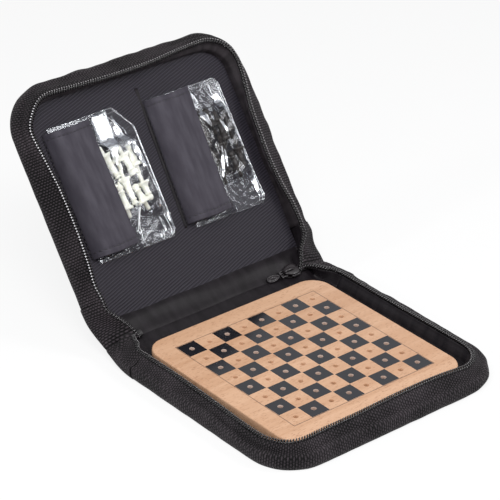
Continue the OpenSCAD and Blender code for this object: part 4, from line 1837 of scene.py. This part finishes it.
@dataclass(frozen=True)
class FilmGrid:
    """A bag's film as a grid of points across by along, in lid plan."""

    left: float
    right: Points
    x: Points
    y: Points
    top: Points
    low: Points

    def height(self, x: Points, y: Points) -> Points:
        """Height of the upper face at any place.

        Args:
            x: places across.
            y: places along.

        Returns:
            A height for each place.
        """
        columns, rows = self.top.shape
        start, end = self.y[0, 0], self.y[0, -1]
        j = np.clip((y - start) / (end - start) * (rows - 1), 0, rows - 1.001)
        j0 = j.astype(int)
        wide = self.right[0, j0] - self.left
        i = np.clip((x - self.left) / wide * (columns - 1), 0, columns - 1.001)
        i0 = i.astype(int)
        fi, fj = i - i0, j - j0
        near = self.top[i0, j0] * (1 - fi) + self.top[i0 + 1, j0] * fi
        far = self.top[i0, j0 + 1] * (1 - fi) + self.top[i0 + 1, j0 + 1] * fi
        return near * (1 - fj) + far * fj


@dataclass
class PieceBag:
    """A clear bag with one side's pieces lying in it, half under its pocket.

    The chamfer is the cut of its upper corner, the pile is where the pieces lift the film, from
    and to, the curl is how far its free edge stands up, and the roof is the highest the film
    may stand under the pocket and beside it.
    """

    colour: str
    layout: CaseLayout
    left: float
    plastic: Finish
    seed: int
    chamfer: Sequence[float] = (9.0, 12.5)
    low: float = 30.0
    width: float = 45.0
    length: float = 72.0
    floor: float = 4.15
    middle: float = 7.62
    heap_middle: float = 35.0
    spread: float = 1.0
    pile: Sequence[float] = (42.5, 87.5)
    curl: float = 2.3
    spare: float = 2.6
    lean: float = 0.0
    roof: Sequence[float] = (11.5, 12.35)
    under_pocket: float = 22.5
    grid: Sequence[int] = (84, 130)
    glint_tails: Sequence[Sequence[Sequence[float]]] = ()
    gleams: Sequence[Sequence[Sequence[float]]] = ()
    heap: Sequence[Lying] = HEAP

    def pieces(self) -> list[Object]:
        """The pieces lying in loose rows, some of them under the pocket.

        Returns:
            The objects.
        """
        rng = np.random.default_rng(self.seed)
        maker = PieceMaker()
        sewn = {kind: Patchwork() for kind in Kind}
        for place in self.heap:
            turn = math.radians(place.turn + rng.uniform(-13, 13))
            roll = rng.uniform(0, 2 * math.pi)
            along = self.heap_middle + (place.along - self.heap_middle) * self.spread
            at = np.array([self.left + place.across + rng.uniform(-0.4, 0.4),
                           self.low + along + rng.uniform(-0.5, 0.5),
                           self.middle + rng.uniform(-0.1, 0.1)])
            put = self.laid(at, turn, roll, place.kind.value[1])
            maker.piece(sewn[place.kind], place.kind, put)
        made = []
        for kind, sew in sewn.items():
            node = f"{self.colour}_{kind.value[0]}"
            obj = sew.build(f"{node}_bagged", [self.plastic], outward=True)
            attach(obj, f"{self.colour}_bag")
            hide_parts(node)
            made.append(obj)
        return made

    def laid(self, at: Points, turn: float, roll: float, tall: float) -> Move:
        """A move that lays a standing piece down at a place.

        Args:
            at: where its middle lies, in lid plan.
            turn: the way its top points, in the lid's plane.
            roll: how far it has rolled.
            tall: its height above its foot.

        Returns:
            The move.
        """
        a, r = math.cos(turn), math.sin(turn)
        axis = np.array([a, r, 0.0])
        side = np.array([-r, a, 0.0])
        up = np.array([0.0, 0.0, 1.0])
        u = side * math.cos(roll) + up * math.sin(roll)
        v = np.cross(axis, u)

        def put(p: Points) -> Points:
            """Places standing points."""
            along = p[..., 2:] - (tall - Turning.peg_length) / 2
            return self.layout.from_lid(at + p[..., :1] * u + p[..., 1:2] * v + along * axis)

        return put

    def slab(
        self, sew: Patchwork, x: Points, y: Points, top: Points, low: Points, slot: int
    ) -> None:
        """Adds one closed thin piece of film, all in lid plan.

        Args:
            sew: where it goes.
            x: its grid of places across.
            y: its grid of places along.
            top: the height of its upper face.
            low: the height of its lower face.
            slot: its finish.
        """
        flat = np.stack([x, y], -1)
        shell = self.layout.from_lid(np.stack([x, y, top], -1))
        back = self.layout.from_lid(np.stack([x, y, low], -1))
        sew.patch(shell, flat, slot=slot)
        sew.patch(back, flat, slot=slot, flip=True)
        for a, b in ((shell[0], back[0]), (back[-1], shell[-1]), (back[:, 0], shell[:, 0]),
                     (shell[:, -1], back[:, -1])):
            sew.patch(np.stack([a, b]), np.zeros((2, len(a), 2)), slot=slot)

    def facets(self, x: Points, y: Points, bend: Points) -> Points:
        """Slanting flat faces with sharp edges between them, as in creased film.

        Args:
            x: places across.
            y: places along.
            bend: bends the edges.

        Returns:
            A height for each place.
        """
        total = np.zeros_like(x)
        for turn, pitch, depth in ((35, 15.0, 0.55), (-52, 8.0, 0.35), (80, 23.0, 0.4)):
            way = math.radians(turn)
            saw = (x * math.cos(way) + y * math.sin(way)) / pitch + 0.16 * bend
            total = total + depth * (4 * np.abs(saw - np.floor(saw + 0.5)) - 1)
        return total

    def shape(self) -> FilmGrid:
        """Works out the film: swollen over the pieces, flat and creased where it is empty.

        Returns:
            The film's grid.
        """
        u, v = np.meshgrid(*(np.linspace(0, 1, n) for n in self.grid), indexing="ij")
        y = self.low + self.length * v
        tip = self.low + self.length - y
        cut = np.clip((y - (self.low + self.length - self.chamfer[1])) / self.chamfer[1], 0, 1)
        foot = np.clip((self.low + 4.0 - y) / 4.0, 0, 1)
        left = self.left + 0.1
        right = self.left + self.width + self.spare - self.chamfer[0] * cut - 2.6 * foot
        x = left + (right - left) * u
        inset = x - left

        full = ease(0, 6, y - self.pile[0]) * ease(0, 6, self.pile[1] - y)
        pile = ease(0, 4.5, right - x - 1.0) * full
        under = ease(0.0, 9.0, inset) * ease(25.5, 21.0, inset)
        hidden = ease(23.5, 20.5, inset)
        gentle = ease(0.5, 7.5, y - self.low) * ease(2.5, 11, tip) * hidden + (1 - hidden)
        pile = np.maximum(pile, under) * ease(0.0, 9.0, inset) * gentle
        free = 1 - pile
        slope = 4 * pile * free

        broad, fine = Ripple(self.seed + 50, 12, 34, 7), Ripple(self.seed + 51, 3.5, 9, 7)
        place = np.stack([x * 1.3, y, np.zeros_like(x)], -1)
        facets = self.facets(x, y, broad(place))
        fold = np.abs(fine(place)) - 0.7
        edge = np.minimum(np.minimum(inset, right - x), np.minimum(y - self.low, tip))
        inside = ease(0.0, 2.2, edge)
        corner = ease(10, 1, np.hypot(right - x, y - self.low))
        tilt = np.clip((inset - 22) / 22, 0, 1)
        top = self.floor + 0.22 + inside * (
            7.2 * pile + 1.7 * (1 - hidden) * free + self.lean * (tilt - 0.5 * pile * (1 - hidden))
            + facets * (0.40 * pile + 0.08 * free + 0.12 * slope + 0.4 * corner)
            + fold * (0.02 + 0.03 * slope + 0.14 * corner))
        top = np.maximum(top, self.floor + 0.2)
        lift = self.curl * ease(-8, 0, x - right) * ease(0, 14, y - self.low) * (1 - inside * pile)
        lift = lift + 0.16 * np.maximum(0, self.pile[0] + 1 - y) * ease(20, 26, inset)
        top = np.minimum(top + lift, np.where(inset < self.under_pocket, *self.roof))
        return FilmGrid(left, right, x, y, top, self.floor + 0.08 * fold * inside + lift)

    def seals(self, sew: Patchwork, g: FilmGrid) -> None:
        """Adds the welded lines: three down the free side and two across the upper end.

        Args:
            sew: where the mesh goes.
            g: the film's grid.
        """
        wide = g.right[0] - g.left
        along = np.linspace(0, 1, len(wide))
        runs = []
        for low_end, high_end in ((0.25, 0.25), (1.4, 1.6), (3.2, 7.0)):
            share = 1 - (low_end + (high_end - low_end) * along) / wide
            k = np.round(share * (len(g.x) - 1)).astype(int)
            height = g.top[k, np.arange(len(wide))]
            runs.append(np.stack([g.left + wide * share, g.y[0], height], 1)[3:-2])
        runs += [np.stack([g.x[:, -row], g.y[:, -row], g.top[:, -row]], 1) for row in (2, 6)]
        for run in runs:
            run = self.layout.from_lid(run + (0, 0, 0.08))
            sew.tube(run, 0.12, sides=6, slot=1, flat=0.5)

    def glare_strips(self, sew: Patchwork, g: FilmGrid) -> None:
        """Adds the strips of painted glare, thin slabs of strongly reflecting film.

        Args:
            sew: where the mesh goes.
            g: the film's grid.
        """
        w = np.linspace(-1, 1, 11)
        for strip in self.gleams:
            x, y, half = through(strip, 48).T
            x, y = x[:, None] + half[:, None] * w, y[:, None] + 0.2 * half[:, None] * w
            z = g.height(x, y)
            # Slot 3 holds the painted glare film.
            self.slab(sew, x, y, z + 0.14, z + 0.06, 3)

    def film(self) -> Object:
        """The bag: a top sheet over the pieces and a flat back, sealed at the edges.

        Returns:
            The object.
        """
        g = self.shape()
        sew = Patchwork()
        self.slab(sew, g.x, g.y, g.top, g.low, 0)
        self.seals(sew, g)
        self.glare_strips(sew, g)
        # Painted highlights: white tubes where glints fall on the film's folds.
        for tail in self.glint_tails:
            run = self.layout.from_lid(through(tail, 24))
            sew.tube(run, 0.45 - 0.3 * np.linspace(0, 1, 24), sides=8, slot=2, flat=0.35)
        return sew.build(f"{self.colour}_bag_film", [FILM, SEAL, PAINTED_GLINT_TAIL, GLARE_STRIP_FILM])

    def dress(self) -> list[Object]:
        """Builds the bag and its pieces, and joins them to the bag's body.

        Returns:
            The objects.
        """
        film = self.film()
        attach(film, f"{self.colour}_bag")
        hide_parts(f"{self.colour}_bag")
        return [film, *self.pieces()]


# ---- zip hardware


@dataclass
class ZipSlider:
    """The zip's slider and pull tab, lying on the spine with its mouth to the right."""

    layout: CaseLayout
    nose: float = 42.8
    up_spine: float = 11.1
    height: float = 3.3
    length: float = 9.0
    width: float = 7.2
    thick: float = 3.4
    pin: float = 1.7
    drop: float = 4.4
    tab: float = 8.4
    tab_width: float = 3.9
    eye: float = 1.6

    def put(self, p: Points) -> Points:
        """Points from the slider's nose, to the room."""
        return self.layout.from_spine(p + np.array([self.nose, self.up_spine, self.height]))

    def plate(self, sew: Patchwork, low: float, high: float, dome: float) -> None:
        """Adds one of the two plates: a blunt shield with soft edges.

        Args:
            sew: where it goes.
            low: its inner face.
            high: its outer face.
            dome: how far the outer face swells.
        """
        t = np.linspace(0, 2 * math.pi, 40, endpoint=False)
        half, long = self.width / 2, self.length
        x = long / 2 - long / 2 * blunt(np.cos(t), 0.62)
        y = half * blunt(np.sin(t), 0.62) * (0.62 + 0.38 * ease(0, long * 0.6, x))
        way = 1 if high > low else -1
        centre = np.array([long * 0.52, 0])
        rows = []
        for s, z in ((0.2, low), (0.93, low), (1.0, low + 0.14 * way), (1.0, high - 0.35 * way),
                     (0.94, high - 0.08 * way), (0.82, high + dome * 0.35),
                     (0.6, high + dome * 0.75), (0.3, high + dome), (0.02, high + dome)):
            xy = centre + (np.stack([x, y], 1) - centre) * s
            rows.append(np.c_[xy, np.full(len(xy), z)])
        sew.patch(self.put(np.stack(rows)), round_rows=True)
        rim = np.stack([rows[0], rows[0] * [0.9, 0.9, 1] + [centre[0] * 0.1, 0, 0]])
        sew.patch(self.put(rim), round_rows=True)

    def slider(self) -> Object:
        """The slider's body with its arched bridge, and two lugs that hold the tab's pin.

        Returns:
            The object.
        """
        sew = Patchwork()
        h = self.thick / 2
        self.plate(sew, -h + 0.8, -h, -0.05)
        self.plate(sew, h - 0.8, h, 0.35)
        for s in (-1, 1):
            rail = np.array([(x, s * (self.width / 2 - 0.45), 0) for x in np.linspace(4.0, 8.2, 8)])
            sew.tube(self.put(rail), 0.95, sides=10)
        post = np.array([(1.7, 0, z) for z in np.linspace(-h + 0.3, h - 0.3, 6)])
        sew.tube(self.put(post), 1.15, sides=12, up=(1, 0, 0))
        bridge = Run((0, 0.9, 0.6), (0.2, 0.4, 1.5), (0.4, 0.9, 2.2), (0.6, 2.2, 2.5),
                     (0.85, 4.6, 2.3), (1.0, 6.6, 1.5))(np.linspace(0, 1, 26))
        arch = np.insert(bridge, 1, 0, axis=1)
        sew.tube(self.put(arch), 0.6, sides=12, up=(0, 1, 0), flat=1.6)
        for s in (-1, 1):
            lug = np.array([(x, 1.75 * s, 0) for x in np.linspace(-self.pin, 1.4, 8)])
            sew.tube(self.put(lug), 0.55, sides=10)
        pin = np.array([(-self.pin, y, 0) for y in np.linspace(-2.0, 2.0, 7)])
        sew.tube(self.put(pin), 0.58, sides=12)
        return sew.build("zip_slider_body", [METAL], weld=False)

    def pull(self) -> Object:
        """The pull tab: an eye on the pin and a paddle with a raised rim, closed but for a pinhole.

        Returns:
            The object.
        """
        sew = Patchwork()
        a = math.radians(self.drop)

        def hang(p: Points) -> Points:
            """Hangs the tab from the slider's pin.

            Args:
                p: points from the pin.

            Returns:
                Points in the room.
            """
            x = p[..., 0] * math.cos(a) - p[..., 2] * math.sin(a) - self.pin
            z = p[..., 0] * math.sin(a) + p[..., 2] * math.cos(a)
            return self.put(np.stack([x, p[..., 1], z], -1))

        t = np.linspace(0, 2 * math.pi, 20, endpoint=False)
        eye = np.stack([1.05 * np.cos(t), 0 * t, 1.05 * np.sin(t)], 1)
        sew.tube(hang(eye), 0.33, sides=8, loop=True, up=(1, 0, 0))
        t = np.linspace(0, 2 * math.pi, 48, endpoint=False)
        half, reach = self.tab_width / 2, (self.tab - self.eye) / 2
        mid = -self.eye - reach
        x = mid + reach * blunt(np.cos(t), 0.7)
        y = half * blunt(np.sin(t), 0.7) * (0.62 + 0.38 * ease(-self.eye, -5.0, x))
        rim = np.stack([x, y * 0.86, 0 * t], 1)
        sew.tube(hang(rim), 0.45, sides=8, loop=True)
        inner = np.stack([mid - 0.4 + (x - mid) * 0.06, y * 0.05, 0 * t], 1)
        border = rim * [1, 0.98, 1]
        rows = np.stack([border + [0, 0, 0.28], inner + [0, 0, 0.22], inner - [0, 0, 0.22],
                         border - [0, 0, 0.28]])
        sew.patch(hang(rows), round_rows=True, round_columns=True)
        return sew.build("zip_pull", [METAL], weld=False)

    def stop(self) -> Object:
        """The small sewn stop that joins the coils at the left end.

        Returns:
            The object.
        """
        sew = Patchwork()
        for k in range(5):
            x = -51.6 + 0.55 * k
            loop = np.array([(x, 11.1 + 1.9 * math.cos(t), 2.9 + 1.0 * math.sin(t))
                             for t in np.linspace(-0.4, math.pi + 0.4, 12)])
            sew.tube(self.layout.from_spine(loop), 0.33, sides=7, up=(1, 0, 0))
        return sew.build("zip_end_stop", [THREAD], weld=False)

    def dress(self) -> list[Object]:
        """Builds the slider, the tab and the stop, and joins them to their bodies.

        Returns:
            The objects.
        """
        slider, pull, stop = self.slider(), self.pull(), self.stop()
        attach(slider, "spine")
        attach(pull, "pull_tab")
        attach(stop, "spine")
        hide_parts("zip_slider")
        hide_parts("zip_pull_tab")
        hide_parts("base_zip_stop")
        return [slider, pull, stop]


# ---- the board


@dataclass
class PegBoard:
    """The beech board with its printed squares, one peg hole in each."""

    middle: Sequence[float] = (-3.6, 1.85)
    side: float = 111.0
    corner: float = 11.0
    square: float = 11.0
    ink: float = 0.16
    line: float = 0.35
    hole: float = 1.15
    depth: float = 5.0
    low: float = 4.6
    top: float = 11.0
    soft: float = 0.8
    steps: int = 8

    def ring(self, half: float, corner: float, count: int) -> Points:
        """A rounded square's outline, starting at its front left corner's middle.

        Args:
            half: half its width.
            corner: its corner radius.
            count: points in all, a multiple of 4.

        Returns:
            Points of (x, y).
        """
        per = count // 4
        c = half - corner
        a = np.linspace(math.radians(225), math.radians(270), 12)
        b = np.linspace(math.radians(270), math.radians(315), 12)
        path = np.concatenate([np.stack([x + corner * np.cos(t), -c + corner * np.sin(t)], 1)
                               for x, t in ((-c, a), (c, b))])
        s = lengths_along(path)
        even = np.linspace(0, s[-1], per + 1)[:-1]
        edge = np.stack([np.interp(even, s, path[:, k]) for k in (0, 1)], 1)
        out = []
        for turn in range(4):
            q = np.array([[math.cos(turn * math.pi / 2), -math.sin(turn * math.pi / 2)],
                          [math.sin(turn * math.pi / 2), math.cos(turn * math.pi / 2)]])
            out.append(edge @ q.T)
        return np.concatenate(out)

    def square_ring(self, half: float, steps: int) -> Points:
        """A square ring with so many points a side, starting at its front left corner.

        Args:
            half: half its width.
            steps: points a side.

        Returns:
            Points of (x, y).
        """
        t = np.linspace(-half, half, steps + 1)[:-1]
        h = np.full_like(t, half)
        return np.concatenate([np.stack([t, -h], 1), np.stack([h, t], 1), np.stack([-t, h], 1),
                               np.stack([-h, -t], 1)])

    def cell(self, sew: Patchwork, column: int, row: int) -> None:
        """One square: a hair of bare wood, its printed or bare face, and the peg hole.

        Args:
            sew: where the mesh goes.
            column: its place along X, from 0.
            row: its place along Y, from 0.
        """
        at = np.array([(column - 3.5) * self.square, (row - 3.5) * self.square]) + self.middle
        half = self.square / 2
        count = 4 * self.steps
        a = math.radians(225) + np.arange(count) * 2 * math.pi / count
        circle = np.stack([np.cos(a), np.sin(a)], 1)
        dark = (column + row) % 2 == 1
        outer = self.square_ring(half, self.steps)
        inked = self.square_ring(half - self.ink, self.steps)
        mid = 0.5 * inked * 0.75 + 0.5 * circle * (half * 0.75)
        rings = [(outer, 0), (inked, 0), (mid, 0), (circle * (self.hole + 0.22), 0),
                 (circle * (self.hole + 0.12), 0.14), (circle * self.hole, 0.5),
                 (circle * self.hole, self.depth), (circle * 0.0, self.depth + 0.3)]
        levels = [np.c_[xy + at, np.full(count, self.top - down)] for xy, down in rings]
        slots = (0, 1, 1, 3, 3, 3, 3) if dark else (0,) * 7
        for k, slot in enumerate(slots):
            sew.patch(np.stack(levels[k : k + 2]), round_rows=True, slot=slot, flip=True)

    def build(self) -> Object:
        """The whole board as one closed mesh with its three finishes.

        Returns:
            The object.
        """
        sew = Patchwork()
        for column in range(8):
            for row in range(8):
                self.cell(sew, column, row)
        half, outer = 4 * self.square, self.side / 2
        count = 4 * 8 * self.steps
        printed = self.square_ring(half, 8 * self.steps)
        drawn = printed * (half + self.line) / half

        def level(xy: Points, z: float) -> Points:
            """A ring of the board at one height."""
            return np.c_[xy + self.middle, np.full(count, z)]

        def rim(inset: float) -> Points:
            """The board's outline, drawn in by an inset."""
            return self.ring(outer - inset, self.corner - inset, count)

        sew.patch(np.stack([level(printed, self.top), level(drawn, self.top)]), round_rows=True,
                  slot=2)
        rows = [level(drawn * (1 - k / 5) + rim(self.soft) * (k / 5), self.top) for k in range(5)]
        for a in np.linspace(0, math.pi / 2, 7):
            rows.append(level(rim(self.soft * (1 - math.sin(a))),
                              self.top - self.soft * (1 - math.cos(a))))
        upper, lower = self.top - self.soft, self.low + self.soft
        rows += [level(rim(0.0), upper + (lower - upper) * k / 3) for k in range(1, 4)]
        for a in np.linspace(0, math.pi / 2, 6)[1:]:
            rows.append(level(rim(self.soft * (1 - math.cos(a))),
                              self.low + self.soft * (1 - math.sin(a))))
        rows += [level(rim(self.soft) * s, self.low) for s in (0.6, 0.3, 0.0)]
        sew.patch(np.stack(rows), round_rows=True)
        obj = sew.build("peg_board", [BEECH, STAIN, LINE, BORED], outward=True)
        obj.modifiers.new("crisp", "EDGE_SPLIT").split_angle = math.radians(40)
        keep_modifiers(obj)
        return obj

    def dress(self) -> Object:
        """Builds the board and joins it to its body.

        Returns:
            The object.
        """
        obj = self.build()
        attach(obj, "board")
        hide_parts("board", "board_dark_squares")
        return obj


# ---- the studio


@dataclass
class Studio:
    """The floor, the lights and the camera."""

    eye: Sequence[float] = (-0.6805, -0.75895, 0.6347)
    ahead: Sequence[float] = (0.5635, 0.6681, -0.4860)
    roll: float = 0.85
    lens: float = 178.23
    reach: float = 3000.0
    gap: float = 0.15
    ambient: float = 0.34

    def lamp(self, name: str, way: Sequence[float], far: float, size: float, power: float) -> None:
        """Adds a square soft lamp that faces the case.

        Args:
            name: the lamp's name.
            way: the way it lies from the case.
            far: its distance in metres.
            size: its width in metres.
            power: its power in watts.
        """
        light = bpy.data.lights.new(name, "AREA")
        light.shape, light.size, light.energy = "SQUARE", size, power
        obj = bpy.data.objects.new(name, light)
        target = Vector((0, 0.04, 0.03))
        place = target + Vector(way).normalized() * far
        obj.location = place
        obj.rotation_euler = (target - place).to_track_quat("-Z", "Y").to_euler()
        bpy.context.scene.collection.objects.link(obj)

    def camera(self) -> None:
        """Adds the camera."""
        view = bpy.data.cameras.new("camera")
        view.lens, view.sensor_width, view.sensor_fit = self.lens, 36, "HORIZONTAL"
        view.clip_start, view.clip_end = 0.05, 20
        obj = bpy.data.objects.new("camera", view)
        ahead = np.array(self.ahead) / np.linalg.norm(self.ahead)
        up = np.array([0.0, 0.0, 1.0])
        right = unit(np.cross(ahead, up))
        top = np.cross(right, ahead)
        a = math.radians(self.roll)
        right, top = (right * math.cos(a) + top * math.sin(a),
                      top * math.cos(a) - right * math.sin(a))
        frame = np.eye(4)
        frame[:3] = np.stack([right, top, -ahead, self.eye], 1)
        obj.matrix_world = Matrix(frame.tolist())
        bpy.context.scene.collection.objects.link(obj)
        bpy.context.scene.camera = obj

    def room(self) -> None:
        """Adds the pale floor and an even pale world."""
        sew = Patchwork()
        xy = np.linspace(-self.reach, self.reach, 5)
        x, y = np.meshgrid(xy, xy, indexing="ij")
        sew.patch(np.stack([x, y, np.full_like(x, -self.gap)], -1))
        floor = sew.build("studio_floor", [StudioFloor()], weld=False)
        world = bpy.data.worlds.new("studio")
        bpy.context.scene.world = world
        b = Bench(world, "OutputWorld")
        dim = b.node("Background", {"Color": (0.95, 0.97, 1.0), "Strength": self.ambient})
        white = b.node("Background", {"Color": (1, 1, 1), "Strength": 1.0})
        mix = b.node("MixShader", {0: b.seen(), 1: dim.outputs[0], 2: white.outputs[0]})
        b.done(mix.outputs[0])

    def dress(self) -> None:
        """Sets up the whole studio."""
        bpy.context.scene.view_settings.view_transform = "Standard"
        self.room()
        self.camera()
        self.lamp("key", (-0.42, -0.38, 0.82), 0.85, 0.45, 5.0)
        self.lamp("gloss", (0.522, -0.525, 0.673), 0.71, 0.21, 1.9)
        self.lamp("side", (-1.0, 0.30, 0.55), 1.0, 0.10, 2.0)


def main() -> None:
    """Builds the case, its zip, its linings, the bags and the board, then the studio."""
    logging.basicConfig(level=logging.INFO, format="%(name)s: %(message)s")
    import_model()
    layout = CaseLayout()
    base = CaseHalf(
        Side.BASE, layout, BASE_BOWS, floor=4.6, foot=(10.0, 8.5, 10.5),
        turn=Run((0, 19.7, 4.5), (2.4, 16.0, 6.1), (5.7, 13.5, 8.4), (14, 11.0, 10.8),
                 (18, 8.9, 11.0), (23.0, 7.85, 11.0)))
    lid = CaseHalf(
        Side.LID, layout, LID_BOWS, floor=3.8, foot=(9.8, 8.7, 9.0), crease=0.35, tuck=1.0,
        turn=Run((0, 19.7, 4.5), (3, 17.5, 7.2), (11.5, 13.5, 10.2), (18, 9.9, 10.9),
                 (23.0, 7.85, 11.0)))
    built: list[Object] = []
    for half in (base, lid):
        built += half.dress()
    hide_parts("spine_lining", "spine_stiffener")
    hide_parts("spine_cover", "spine_gusset_left", "spine_gusset_right")
    built.append(FloorLining(base, level=4.45, near=60.0, inset=1.2, finish=SMOOTH).dress())
    built.append(FloorLining(lid, level=3.82, near=61.6, inset=0.9, finish=RIBBED).dress())
    built.append(LidSeam(layout).dress())
    built += Pocket("left_pocket", layout, left=-56.45, lean=-0.8).dress()
    built += Pocket("right_pocket", layout, left=4.55, lean=2.4, seed=46).dress()
    built += PieceBag(
        "white", layout, -53.45, IVORY, seed=61, glint_tails=GLINT_TAILS, gleams=WHITE_GLEAMS).dress()
    built += PieceBag(
        "black", layout, 7.55, EBONY, seed=67, chamfer=(2.5, 4.0), length=70.0, spread=1.06,
        curl=0.6, spare=0.5, lean=-1.6, gleams=BLACK_GLEAMS).dress()
    built += ZipSlider(layout).dress()
    built.append(PegBoard().dress())
    for obj in built:
        LOG.info("%s: %d faces", obj.name, len(obj.data.polygons))
    Studio().dress()


if __name__ == "__main__":
    main()
